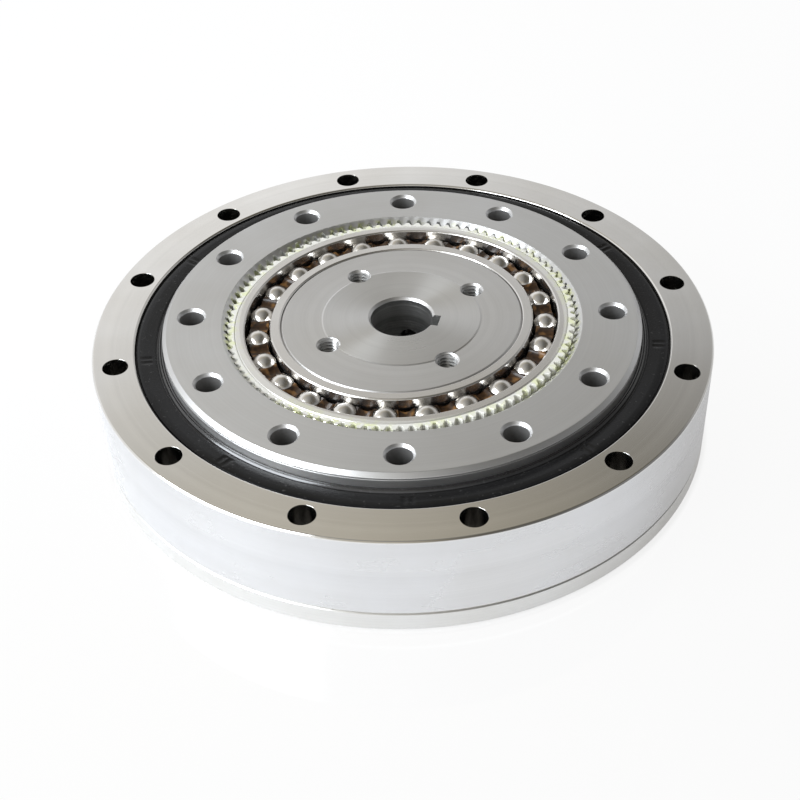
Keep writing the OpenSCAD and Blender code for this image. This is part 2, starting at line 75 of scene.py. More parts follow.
class Body(str, Enum):
    """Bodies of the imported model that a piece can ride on."""

    HOUSING = "housing"
    OUTPUT = "output"
    GENERATOR = "wave_generator"
    BALLS = "ball_set"


class Slot(str, Enum):
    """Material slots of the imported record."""

    GROUND = "ground_steel"
    SATIN = "satin_steel"
    FLEX = "flex_steel"
    RACE = "race_steel"
    POLISHED = "polished_steel"
    DARK = "dark_steel"
    RUBBER = "seal_rubber"
    CAGE = "cage_phenolic"


# Node trees


class Signal:
    """Output socket of a node: +, - and * each add a Math node to its tree."""

    def __init__(self, wiring: "Wiring", socket: Socket) -> None:
        """Wraps an output socket of the wiring's tree."""
        self.wiring, self.socket = wiring, socket

    def __add__(self, other: Value) -> "Signal":
        """Adds a number or a signal."""
        return self.wiring.calc("ADD", self, other)

    def __sub__(self, other: Value) -> "Signal":
        """Takes a number or a signal away."""
        return self.wiring.calc("SUBTRACT", self, other)

    def __rsub__(self, other: Value) -> "Signal":
        """Takes the signal away from a number."""
        return self.wiring.calc("SUBTRACT", other, self)

    def __mul__(self, other: Value) -> "Signal":
        """Multiplies by a number or a signal."""
        return self.wiring.calc("MULTIPLY", self, other)

    __radd__, __rmul__ = __add__, __mul__


class Wiring:
    """Adds nodes to one tree and links them, so that a tree reads as a list of steps."""

    def __init__(self, tree: Tree) -> None:
        """Empties the shader or geometry tree that it will fill."""
        self.tree = tree
        tree.nodes.clear()

    def node(self, kind: str, inputs: Optional[dict] = None, **settings: object) -> Node:
        """Adds a node.

        Args:
            kind: Blender's name for the node's type.
            inputs: Values or signals by input name or number.
            **settings: Properties of the node.

        Returns:
            The new node.
        """
        made = self.tree.nodes.new(kind)
        for name, value in settings.items():
            setattr(made, name, value)
        self.feed(made, inputs or {})
        return made

    def feed(self, node: Node, inputs: dict) -> None:
        """Links signals to a node's inputs, and sets the inputs that get a plain value, by name or number."""
        for key, value in inputs.items():
            source = value.socket if isinstance(value, Signal) else value
            if isinstance(source, Socket):
                self.tree.links.new(source, node.inputs[key])
            else:
                node.inputs[key].default_value = source

    def out(self, kind: str, inputs: Optional[dict] = None, output: Union[int, str] = 0,
            **settings: object) -> Signal:
        """Adds a node and returns one of its outputs."""
        return Signal(self, self.node(kind, inputs, **settings).outputs[output])

    def outs(self, kind: str, inputs: Optional[dict] = None, **settings: object) -> dict[str, Signal]:
        """Adds a node and returns its outputs by name."""
        return {socket.name: Signal(self, socket) for socket in self.node(kind, inputs, **settings).outputs}

    def effect(self, group: Tree, **inputs: Value) -> dict[str, Signal]:
        """Places a shared node group and returns its outputs by name."""
        return self.outs("ShaderNodeGroup", inputs, node_tree=group)

    def calc(self, operation: str, first: Value, second: Value = 0.0, clamp: bool = False) -> Signal:
        """Adds a Math node, whose result clamp keeps between 0 and 1."""
        return self.out("ShaderNodeMath", {0: first, 1: second}, operation=operation, use_clamp=clamp)

    def split(self, vector: Value) -> list[Signal]:
        """Gives a vector's x, y and z."""
        return list(self.outs("ShaderNodeSeparateXYZ", {0: vector}).values())

    def xyz(self, x: Value = 0.0, y: Value = 0.0, z: Value = 0.0) -> Signal:
        """Puts a vector together."""
        return self.out("ShaderNodeCombineXYZ", {0: x, 1: y, 2: z})

    def reach(self, x: Value, y: Value) -> Signal:
        """Gives a point's distance from the upright axis."""
        return self.out("ShaderNodeVectorMath", {0: self.xyz(x, y)}, "Value", operation="LENGTH")

    def noise(self, vector: Value, scale: Value, detail: float, roughness: float = 0.5) -> Signal:
        """Adds a Noise Texture and returns its factor."""
        inputs = {"Vector": vector, "Scale": scale, "Detail": detail, "Roughness": roughness}
        return self.out("ShaderNodeTexNoise", inputs, "Fac")

    def remap(self, value: Value, low: Value, high: Value, to_low: float = 0.0, to_high: float = 1.0) -> Signal:
        """Maps low to high on to_low to to_high, held at both ends."""
        return self.out("ShaderNodeMapRange", {0: value, 1: low, 2: high, 3: to_low, 4: to_high})

    def mix(self, first: Value, second: Value, factor: Value, blend: str = "MIX") -> Signal:
        """Mixes two colours: the factor is the second one's share."""
        colours = [(*value, 1.0) if isinstance(value, tuple) else value for value in (first, second)]
        inputs = {0: factor, 6: colours[0], 7: colours[1]}
        return self.out("ShaderNodeMix", inputs, 2, data_type="RGBA", blend_type=blend)

    def bump(self, strength: float, height: Value) -> Signal:
        """Gives the normal of a Bump node that is a tenth of a millimetre deep."""
        return self.out("ShaderNodeBump", {"Strength": strength, "Distance": 0.1 * MM, "Height": height})


def shader_group(name: str, inputs: dict[str, float],
                 outputs: Sequence[str]) -> tuple[Tree, Wiring, dict[str, Signal]]:
    """Makes a shader node group with number sockets and one vector input named Place.

    Args:
        name: The group's name.
        inputs: Default of each number input, by name.
        outputs: Names of the number outputs.

    Returns:
        The group, the wiring that fills it and its inputs by name.
    """
    tree = bpy.data.node_groups.new(name, "ShaderNodeTree")
    tree.interface.new_socket("Place", in_out="INPUT", socket_type="NodeSocketVector")
    for label, value in inputs.items():
        socket = tree.interface.new_socket(label, in_out="INPUT", socket_type="NodeSocketFloat")
        socket.default_value = value
    for label in outputs:
        tree.interface.new_socket(label, in_out="OUTPUT", socket_type="NodeSocketFloat")
    wiring = Wiring(tree)
    return tree, wiring, wiring.outs("NodeGroupInput")


@cache
def turned_lay() -> Tree:
    """Builds a lathe tool's fine rings, which follow the radius on a face and the height on a wall."""
    tree, w, given = shader_group("turned_lay", {"Rings": 4000.0, "Drift": 0.3}, ["Tone", "Height"])
    x, y, z = w.split(given["Place"])
    lay = w.xyz(w.reach(x, y), z)
    fine = w.noise(lay, given["Rings"], detail=3.0, roughness=0.6)
    broad = w.noise(lay, given["Rings"] * 0.12, detail=2.0)
    drift = w.noise(given["Place"], 45.0, detail=1.0) * given["Drift"]
    tone = fine * 0.45 + broad * 0.55 + drift - given["Drift"] * 0.5
    w.node("NodeGroupOutput", {"Tone": tone, "Height": fine})
    return tree


@cache
def handling_marks() -> Tree:
    """Builds the slight clouds and specks that oil and handling leave on clean metal."""
    tree, w, given = shader_group("handling_marks", {"Cloud": 60.0, "Speck": 1800.0}, ["Cloudy", "Specks"])
    cloud = w.noise(given["Place"], given["Cloud"], detail=4.0, roughness=0.55)
    speck = w.noise(given["Place"], given["Speck"], detail=2.0, roughness=0.7)
    w.node("NodeGroupOutput", {"Cloudy": w.remap(cloud, 0.3, 0.7), "Specks": w.remap(speck, 0.64, 0.74)})
    return tree


@cache
def grease_film() -> Tree:
    """Builds a grease film's masks: a band between two radii, and patches that reach a little past it."""
    sizes = {"Inner": 28.7 * MM, "Outer": 30.8 * MM, "Patch": 130.0}
    tree, w, given = shader_group("grease_film", sizes, ["Mask", "Beads", "Band"])
    x, y, z = w.split(given["Place"])
    place, inner, outer, edge = given["Place"], given["Inner"], given["Outer"], 0.3 * MM
    radius = w.reach(x, y)
    inside = w.remap(radius, inner, inner + edge)
    outside = w.remap(radius, outer, outer + edge, 1.0, 0.0)
    spread = w.remap(radius, outer + 0.7 * MM, outer + 1.1 * MM, 1.0, 0.0)
    above = w.remap(z, 13.0 * MM, 14.0 * MM)
    daubs = w.remap(w.noise(place, given["Patch"] * 7.0, detail=2.0), 0.44, 0.58)
    patch = w.remap(w.noise(place, given["Patch"], detail=3.0, roughness=0.6), 0.40, 0.54) * daubs
    beads = w.noise(place, 2600.0, detail=2.0)
    mask = inside * (patch * spread * above)
    w.node("NodeGroupOutput", {"Mask": mask, "Beads": beads, "Band": inside * outside * above})
    return tree


# Finishes


def new_material(name: str, colour: Colour) -> tuple[Material, Wiring, Node, Signal]:
    """Makes a material with a Principled shader and object coordinates.

    Args:
        name: The material's name.
        colour: Its plain colour, also used in the viewport.

    Returns:
        The material, its wiring, its shader and the object coordinates.
    """
    material = bpy.data.materials.new(name)
    material.use_nodes = True
    material.diffuse_color = (*colour, 1.0)
    wiring = Wiring(material.node_tree)
    shader = wiring.node("ShaderNodeBsdfPrincipled", {"Base Color": (*colour, 1.0)})
    wiring.node("ShaderNodeOutputMaterial", {"Surface": shader.outputs[0]})
    return material, wiring, shader, wiring.outs("ShaderNodeTexCoord")["Object"]


def scaled(colour: Colour, factor: float) -> Colour:
    """Makes a colour lighter or darker, up to white."""
    return tuple(min(1.0, part * factor) for part in colour)


FILM_COLOUR: Colour = (0.72, 0.71, 0.645)
DAUB_COLOUR: Colour = (0.68, 0.72, 0.34)
DUST_COLOUR: Colour = (0.30, 0.29, 0.28)
FILM_COVER = 1.33  # How much of the metal's colour a film hides, for each unit of grease.
FILM_DULL = 1.45  # How much of its metallic look a film hides, for each unit of grease.


@dataclass(frozen=True)
class MetalFinish:
    """Turned or ground metal with lathe rings, faint clouds and, where it is wet, a grease film."""

    name: str
    colour: Colour
    roughness: float = 0.3
    rings: float = 4000.0
    ring_tone: float = 0.12
    ring_depth: float = 0.05
    cloud_tone: float = 0.06
    anisotropy: float = 0.0
    grease: float = 0.0
    metallic: float = 1.0

    def material(self) -> Material:
        """Builds the finish's material."""
        material, w, shader, place = new_material(self.name, self.colour)
        lay = w.effect(turned_lay(), Place=place, Rings=self.rings, Drift=0.3)
        marks = w.effect(handling_marks(), Place=place)
        low, high = scaled(self.colour, 1 - self.ring_tone), scaled(self.colour, 1 + self.ring_tone)
        colour = w.mix(low, high, w.remap(lay["Tone"], 0.3, 0.7))
        dulled = scaled((1.0, 0.99, 0.97), 1 - self.cloud_tone)
        colour = w.mix(colour, dulled, marks["Cloudy"], "MULTIPLY")
        cloud_rough, ring_rough = 0.06, 0.08
        rough = marks["Cloudy"] * cloud_rough + lay["Tone"] * ring_rough
        rough = w.calc("ADD", rough, self.roughness - (cloud_rough + ring_rough) / 2, clamp=True)
        height = lay["Height"]
        w.feed(shader, {"Metallic": self.metallic})
        if self.grease > 0:
            film = w.effect(grease_film(), Place=place)
            mask = film["Mask"] * self.grease
            colour = w.mix(colour, FILM_COLOUR, film["Band"] * min(1.0, FILM_COVER * self.grease))
            colour = w.mix(colour, DAUB_COLOUR, mask)
            rough = w.calc("SUBTRACT", rough, mask * 0.12, clamp=True)
            height = height + film["Beads"] * (mask * 4.0)
            w.feed(shader, {"Metallic": 1.0 - film["Band"] * min(1.0, FILM_DULL * self.grease)})
        w.feed(shader, {"Base Color": colour, "Roughness": rough, "Normal": w.bump(self.ring_depth, height)})
        if self.anisotropy > 0:
            around = w.out("ShaderNodeTangent", direction_type="RADIAL", axis="Z")
            w.feed(shader, {"Anisotropic": self.anisotropy, "Anisotropic Rotation": 0.25, "Tangent": around})
        return material


@dataclass(frozen=True)
class MouldedFinish:
    """Rubber or plastic with a fine mould grain, faint clouds and light dust."""

    name: str
    colour: Colour
    worn: Colour
    roughness: float = 0.35
    coat: float = 0.0
    specular: float = 0.5

    def material(self) -> Material:
        """Builds the finish's material."""
        material, w, shader, place = new_material(self.name, self.colour)
        marks = w.effect(handling_marks(), Place=place, Cloud=110.0, Speck=1500.0)
        grain = w.noise(place, 3500.0, detail=3.0, roughness=0.6)
        colour = w.mix(self.colour, self.worn, marks["Cloudy"] * 0.6)
        colour = w.mix(colour, DUST_COLOUR, marks["Specks"] * 0.12)
        cloud_rough = 0.12
        rough = w.calc("ADD", marks["Cloudy"] * cloud_rough, self.roughness - cloud_rough / 2, clamp=True)
        w.feed(shader, {"Base Color": colour, "Roughness": rough, "Normal": w.bump(0.15, grain),
                        "Specular IOR Level": self.specular, "Coat Weight": self.coat, "Coat Roughness": 0.12})
        return material


@dataclass(frozen=True)
class LaminateFinish:
    """Turned fabric laminate, brown with amber in its woven layers, a skin of oil and painted glints: lighter
    patches at random that stand in for highlights.
    """

    name: str
    dark: Colour
    amber: Colour
    painted_glint: Colour

    def material(self) -> Material:
        """Builds the finish's material."""
        material, w, shader, place = new_material(self.name, self.dark)
        layer = w.noise(w.xyz(z=w.split(place)[2]), 2200.0, detail=2.0)
        weave = w.noise(place, 1600.0, detail=3.0, roughness=0.65)
        mixed = layer * 0.5 + weave * 0.5
        colour = w.mix(self.dark, self.amber, w.remap(mixed, 0.4, 0.68))
        # Painted glints: a light amber in random patches stands in for highlights on the oily cage.
        colour = w.mix(colour, self.painted_glint, w.remap(w.noise(place, 620.0, detail=1.0), 0.54, 0.68))
        w.feed(shader, {"Base Color": colour, "Roughness": w.remap(weave, 0.3, 0.7, 0.28, 0.42),
                        "Normal": w.bump(0.2, mixed), "Specular IOR Level": 0.3, "Coat Weight": 0.25,
                        "Coat Roughness": 0.1})
        return material


class Finishes:
    """All finishes of the unit, built once and handed out by name."""

    SPECS = {
        "ground": MetalFinish("ground_bearing_steel", (0.76, 0.75, 0.73), 0.13, 5200.0, 0.05, 0.03, 0.07, 0.2),
        # wall: the outer ring's side wall; its stretched lay is the real grind, and its colour, darker than the
        # top, is painted shade.
        "wall": MetalFinish("ground_wall_steel", (0.67, 0.67, 0.675), 0.27, 2600.0, 0.05, 0.03, 0.05, 0.5),
        "satin": MetalFinish("satin_turned_steel", (0.655, 0.66, 0.665), 0.40, 4200.0, 0.05, 0.05, 0.05, 0.3,
                             grease=0.6),
        "hub": MetalFinish("hub_turned_steel", (0.64, 0.64, 0.64), 0.38, 3800.0, 0.06, 0.06, 0.05, 0.3),
        "disc": MetalFinish("hub_disc_steel", (0.62, 0.62, 0.615), 0.31, 3800.0, 0.07, 0.06, 0.05, 0.92),
        "flex": MetalFinish("flexspline_steel", (0.70, 0.695, 0.68), 0.30, 4000.0, 0.06, 0.05, 0.06, 0.3,
                            grease=0.6),
        "race": MetalFinish("race_ground_steel", (0.70, 0.69, 0.675), 0.24, 5000.0, 0.04, 0.03, 0.05, 0.4,
                            grease=0.25),
        "ball": MetalFinish("polished_ball_steel", (0.77, 0.75, 0.72), 0.25, 900.0, 0.03, 0.02, 0.06),
        "roller": MetalFinish("roller_steel", (0.72, 0.72, 0.71), 0.16, 3000.0, 0.03, 0.02, 0.03),
        # land: a lighter copy of the output ring's steel for its land wall, painted highlight.
        "land": MetalFinish("seal_land_steel", (0.78, 0.78, 0.78), 0.36, 4200.0, 0.05, 0.03, 0.04, 0.3),
        # tapped: a darker copy of the steel for the threaded holes, painted shade.
        "tapped": MetalFinish("tapped_hole_steel", (0.40, 0.40, 0.395), 0.32, 3000.0, 0.12, 0.10, 0.08,
                              metallic=0.7),
        # drilled: a darker copy of the steel for the walls of bolt holes, painted shade.
        "drilled": MetalFinish("drilled_hole_steel", (0.25, 0.245, 0.24), 0.34, 3000.0, 0.12, 0.10, 0.08,
                               metallic=0.55),
        # bore: a darker copy of the steel for the hub's bore, painted shade.
        "bore": MetalFinish("reamed_bore_steel", (0.50, 0.50, 0.49), 0.40, 2400.0, 0.40, 1.0, 0.1),
        "case": MetalFinish("pressed_sheet_steel", (0.42, 0.42, 0.42), 0.35, 2500.0, 0.05, 0.05, 0.08),
        "black": MetalFinish("blackened_screw_steel", (0.06, 0.06, 0.065), 0.38, 2600.0, 0.2, 0.08, 0.15),
        "rubber": MouldedFinish("nitrile_rubber", (0.007, 0.007, 0.007), (0.012, 0.012, 0.013), 0.14,
                                specular=0.16),
        "lip": MouldedFinish("wiped_lip_rubber", (0.007, 0.007, 0.007), (0.012, 0.012, 0.013), 0.14,
                              coat=0.6, specular=0.6),
        "cord_rubber": MouldedFinish("ring_rubber", (0.012, 0.012, 0.012), (0.02, 0.02, 0.02), 0.5),
        "spacer": MouldedFinish("moulded_spacer_plastic", (0.62, 0.53, 0.38), (0.52, 0.44, 0.30), 0.4),
        # The cage's third colour is its painted glint.
        "cage": LaminateFinish("fabric_laminate", (0.008, 0.004, 0.002), (0.070, 0.031, 0.008),
                               (0.19, 0.092, 0.026)),
    }

    @classmethod
    @cache
    def get(cls, key: str) -> Material:
        """Gives a finish's material, built at its first use."""
        return cls.SPECS[key].material()


# Mesh tools


def polar(radius: float, angle: float, height: float) -> Vector:
    """Gives the point at a radius, an angle and a height."""
    return Vector((radius * math.cos(angle), radius * math.sin(angle), height))


def as_mesh(bm: bmesh.types.BMesh, name: str) -> Mesh:
    """Writes faces to a new mesh and frees them."""
    mesh = bpy.data.meshes.new(name)
    bm.to_mesh(mesh)
    bm.free()
    return mesh


def as_object(mesh: Mesh, name: str) -> Piece:
    """Links a new object that holds the mesh and returns it."""
    made = bpy.data.objects.new(name, mesh)
    bpy.context.scene.collection.objects.link(made)
    return made


def rounded(section: Sequence[Point], radius: float, support: float = 0.05) -> list[Point]:
    """Rounds the corners of a closed section and adds a support point beside each bend.

    Args:
        section: Corner points in order.
        radius: Reach of each rounding along its two sides, shortened where a side is short.
        support: Distance from the bend to its support points, which keep flat faces flat in shading.

    Returns:
        The rounded section.
    """
    result: list[Point] = []
    steps, least_turn = 3, math.radians(8)
    for i, corner in enumerate(section):
        here = Vector(corner)
        back, ahead = Vector(section[i - 1]) - here, Vector(section[(i + 1) % len(section)]) - here
        reach = min(radius, 0.35 * back.length, 0.35 * ahead.length)
        if math.pi - back.angle(ahead) < least_turn or reach < 1e-4:
            result.append(corner)
            continue
        start, end = here + back.normalized() * reach, here + ahead.normalized() * reach
        if back.length * 0.45 > reach + support:
            result.append(tuple(here + back.normalized() * (reach + support)))
        for k in range(steps + 1):
            u = k / steps
            result.append(tuple(start * (1 - u) ** 2 + here * 2 * u * (1 - u) + end * u ** 2))
        if ahead.length * 0.45 > reach + support:
            result.append(tuple(here + ahead.normalized() * (reach + support)))
    return result


def woven(columns: Sequence[Sequence[Vector]], closed: bool = True) -> Mesh:
    """Makes a skin over columns of points that all run round the same closed section.

    Args:
        columns: Points of each section, in millimetres.
        closed: Whether the last column joins the first.

    Returns:
        The mesh, in metres.
    """
    bm = bmesh.new()
    grid = [[bm.verts.new(point * MM) for point in column] for column in columns]
    rows = len(grid[0])
    for i in range(len(grid) if closed else len(grid) - 1):
        here, there = grid[i], grid[(i + 1) % len(grid)]
        for k in range(rows):
            m = (k + 1) % rows
            bm.faces.new((here[k], there[k], there[m], here[m]))
    return as_mesh(bm, "woven")


def spun(section: Sequence[Point], segments: int,
         dent: Callable[[float, float], float] = lambda radius, angle: 0.0) -> Mesh:
    """Turns a closed section round the axis, lowered by dent(radius, angle in degrees)."""
    angles = [TURN * i / segments for i in range(segments)]
    return woven([[polar(r, a, z - dent(r, math.degrees(a))) for r, z in section] for a in angles])


def tooth_slice(teeth: int, outline: Sequence[Point], shell: Sequence[Point],
                flank: Callable[[float], Sequence[Point]]) -> Mesh:
    """Makes the slice of a toothed ring that belongs to one tooth.

    Args:
        teeth: Teeth round the ring.
        outline: One pitch of the tooth outline as (radius, angle in degrees).
        shell: The plain part of the section.
        flank: Gives the toothed part of the section at a radius of the outline.

    Returns:
        The mesh, in metres.
    """
    columns = []
    for i, (r, spread) in enumerate(outline):
        even = math.radians((i - 1.5) * 360 / teeth / 4)
        columns.append([polar(q, even, z) for q, z in shell]
                       + [polar(q, math.radians(spread), z) for q, z in flank(r)])
    return woven(columns, closed=False)


def plugged(rings: Sequence[Sequence[Vector]]) -> Mesh:
    """Makes a solid from rings of points, with a flat or pointed cap at both ends.

    Args:
        rings: Points round each ring, counter-clockwise from above, in millimetres. A ring may be one point.

    Returns:
        The mesh, in metres.
    """
    bm = bmesh.new()
    made = [[bm.verts.new(point * MM) for point in ring] for ring in rings]
    for low, high in zip(made, made[1:]):
        count = max(len(low), len(high))
        for i in range(count):
            j = (i + 1) % count
            if len(low) == 1:
                bm.faces.new((low[0], high[j], high[i]))
            elif len(high) == 1:
                bm.faces.new((low[i], low[j], high[0]))
            else:
                bm.faces.new((low[i], low[j], high[j], high[i]))
    if len(made[0]) > 1:
        bm.faces.new(reversed(made[0]))
    if len(made[-1]) > 1:
        bm.faces.new(made[-1])
    bmesh.ops.recalc_face_normals(bm, faces=bm.faces)
    return as_mesh(bm, "plugged")


def ring_points(radius: Radius, height: float, count: int) -> list[Vector]:
    """Gives points round the axis, with a fixed radius or one that depends on the angle; 0 gives one point."""
    if radius == 0:
        return [Vector((0, 0, height))]
    angles = [TURN * i / count for i in range(count)]
    return [polar(radius(a) if callable(radius) else radius, a, height) for a in angles]


def lathed(profile: Sequence[tuple[Radius, float]], count: int) -> Mesh:
    """Makes a solid that a profile of (radius, height) pairs describes, from one end to the other."""
    return plugged([ring_points(r, z, count) for r, z in profile])


def hexagon(flat: float) -> Callable[[float], float]:
    """Gives a hexagon's radius by angle, from the distance between its middle and its sides."""
    return lambda a: flat / math.cos((a + math.pi / 6) % (math.pi / 3) - math.pi / 6)


def drilled(radius: float, top: float, depth: float, mouth: float) -> Mesh:
    """Makes what a drill takes away down to a depth, with a countersink of radius mouth at the top."""
    return lathed([(0, top - depth - radius * 0.6), (radius, top - depth), (radius, top - (mouth - radius)),
                   (mouth, top), (mouth, top + PAST)], 48)


def threaded(crest: float, root: float, pitch: float, top: float, depth: float, mouth: float,
             plain: float = 0.0, through: bool = False) -> Mesh:
    """Makes the solid that a tap takes away, with a true helix, a countersunk mouth and a drill point.

    Args:
        crest: Radius inside the thread.
        root: Radius at the bottom of the thread.
        pitch: Rise of one turn.
        top: Height of the face that it starts in.
        depth: Depth of the hole.
        mouth: Radius of the countersink in the face.
        plain: Depth from the face over which the hole has no thread.
        through: Whether the hole leaves the other side instead of ending in a point.

    Returns:
        The mesh, in metres.
    """
    step, count = pitch / 6, 36

    def radius_at(angle: float, z: float) -> float:
        """Gives the thread's radius at an angle and a height."""
        if top - z < plain:
            thread = crest
        else:
            share = (z / pitch - angle / TURN) % 1.0
            thread = crest + (root - crest) * max(0.0, min(1.0, 1.35 - abs(share - 0.5) * 3.2))
        return max(thread, mouth - (top - z))

    rings = [] if through else [ring_points(0, top - depth - crest * 0.6, count)]
    for k in range(round(depth / step) + 1):
        z = top - depth + k * step
        rings.append(ring_points(lambda a, z=z: radius_at(a, min(z, top - 1e-6)), z, count))
    rings.append(ring_points(mouth, top + PAST, count))
    return plugged(rings)


def baked(piece: Piece) -> Piece:
    """Replaces a piece's mesh with its evaluated mesh, removes its modifiers and returns it."""
    bpy.context.view_layer.update()
    seen = piece.evaluated_get(bpy.context.evaluated_depsgraph_get())
    mesh = bpy.data.meshes.new_from_object(seen)
    piece.modifiers.clear()
    piece.data = mesh
    return piece


def carve(piece: Piece, *cutters: Piece) -> Piece:
    """Cuts closed solids out of a closed piece, deletes them and returns the piece."""
    for cutter in cutters:
        boolean = piece.modifiers.new("carve", "BOOLEAN")
        boolean.operation = "DIFFERENCE"
        boolean.solver = "EXACT"
        boolean.object = cutter
        baked(piece)
        bpy.data.objects.remove(cutter)
    return piece


@cache
def ring_tree() -> Tree:
    """Builds RingOf's tree: points on the path, a turned copy of the solid on each, made real and welded."""
    tree = bpy.data.node_groups.new("ring_of", "GeometryNodeTree")
    w = Wiring(tree)
    tree.interface.new_socket("Geometry", in_out="OUTPUT", socket_type="NodeSocketGeometry")
    sizes = dict.fromkeys(("Radius", "Height", "Phase", "Oval", "Lobe", "Weld"), "Float")
    for name, kind in {"Solid": "Object", "Finish": "Material", "Count": "Int", **sizes}.items():
        tree.interface.new_socket(name, in_out="INPUT", socket_type=f"NodeSocket{kind}")
    given = w.outs("NodeGroupInput")
    angle = w.out("GeometryNodeInputIndex") * w.calc("DIVIDE", TURN, given["Count"]) + given["Phase"]
    x = given["Radius"] * (1.0 + given["Oval"]) * w.calc("COSINE", angle)
    y = given["Radius"] * (1.0 - given["Oval"]) * w.calc("SINE", angle)
    place = w.out("ShaderNodeVectorRotate", {"Vector": w.xyz(x, y, given["Height"]), "Angle": given["Lobe"]},
                  rotation_type="Z_AXIS")
    points = w.out("GeometryNodePoints", {"Count": given["Count"], "Position": place})
    turned = w.out("FunctionNodeEulerToRotation", {0: w.xyz(z=angle + given["Lobe"])})
    solid = w.out("GeometryNodeObjectInfo", {"Object": given["Solid"]}, "Geometry")
    copies = w.out("GeometryNodeInstanceOnPoints", {"Points": points, "Instance": solid, "Rotation": turned})
    real = w.out("GeometryNodeRealizeInstances", {0: copies})
    welded = w.out("GeometryNodeMergeByDistance", {"Geometry": real, "Distance": given["Weld"]})
    dressed = w.out("GeometryNodeSetMaterial", {"Geometry": welded, "Material": given["Finish"]})
    w.node("NodeGroupOutput", {"Geometry": dressed})
    return tree


@dataclass(frozen=True)
class RingOf:
    """Repeats a solid round the axis with Geometry Nodes, on a circle or on an oval path.

    The phase is the first copy's angle from the path's long axis, and the lobe is that axis's own angle, in
    degrees. The oval is the share by which the path is longer and narrower than its circle. Neighbours' points
    within the weld distance become one.
    """

    count: int
    radius: float = 0.0
    height: float = 0.0
    phase: float = 0.0
    oval: float = 0.0
    lobe: float = 0.0
    weld: float = 0.0

    def make(self, name: str, solid: Mesh, finish: str) -> Piece:
        """Repeats a solid and makes the result one plain mesh.

        Args:
            name: Name of the new object.
            solid: The mesh to repeat, in metres, standing at the origin.
            finish: Key of the copies' finish.

        Returns:
            The new object.
        """
        source = as_object(solid, f"{name}_source")
        piece = as_object(bpy.data.meshes.new(name), name)
        ring = piece.modifiers.new("ring_of", "NODES")
        ring.node_group = ring_tree()
        values = {"Solid": source, "Finish": Finishes.get(finish), "Count": self.count, "Oval": self.oval,
                  "Radius": self.radius * MM, "Height": self.height * MM, "Weld": self.weld * MM,
                  "Phase": math.radians(self.phase), "Lobe": math.radians(self.lobe)}
        for item in ring.node_group.interface.items_tree:
            if item.item_type == "SOCKET" and item.in_out == "INPUT":
                ring[item.identifier] = values[item.name]
        baked(piece)
        bpy.data.objects.remove(source)
        return piece


def settle(piece: Piece, finish: str, body: Body, node: str, crease: float = 28.0) -> None:
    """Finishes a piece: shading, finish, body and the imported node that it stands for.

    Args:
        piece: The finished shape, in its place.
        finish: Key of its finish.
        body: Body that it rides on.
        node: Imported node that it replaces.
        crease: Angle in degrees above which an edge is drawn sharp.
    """
    mesh = piece.data
    mesh.name = piece.name
    mesh.materials.clear()
    mesh.materials.append(Finishes.get(finish))
    mesh.polygons.foreach_set("material_index", [0] * len(mesh.polygons))
    mesh.shade_smooth()
    mesh.set_sharp_from_angle(angle=math.radians(crease))
    mesh.update()
    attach(piece, body.value)
    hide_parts(node)
    LOG.info("%s: %d faces, on %s, for %s", piece.name, len(mesh.polygons), body.value, node)


def dress_faces(piece: Piece, finish: str, chosen: Callable[[float, float, float], bool]) -> None:
    """Gives some faces of a settled piece a second finish.

    Args:
        piece: The settled piece.
        finish: Key of the second finish.
        chosen: Picks a face by the radius and height of its middle and by how far it faces up, from -1 to 1.
    """
    piece.data.materials.append(Finishes.get(finish))
    for face in piece.data.polygons:
        if chosen(face.center.xy.length / MM, face.center.z / MM, face.normal.z):
            face.material_index = len(piece.data.materials) - 1


def dress_nodes(**finishes: str) -> None:
    """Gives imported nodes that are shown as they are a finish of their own, by node name."""
    for node, finish in finishes.items():
        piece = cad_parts[node]
        if not piece.data.materials:
            piece.data.materials.append(None)
        for slot in piece.material_slots:
            slot.material = Finishes.get(finish)
        LOG.info("%s: packed node with finish %s", node, finish)


# The unit's shared sizes


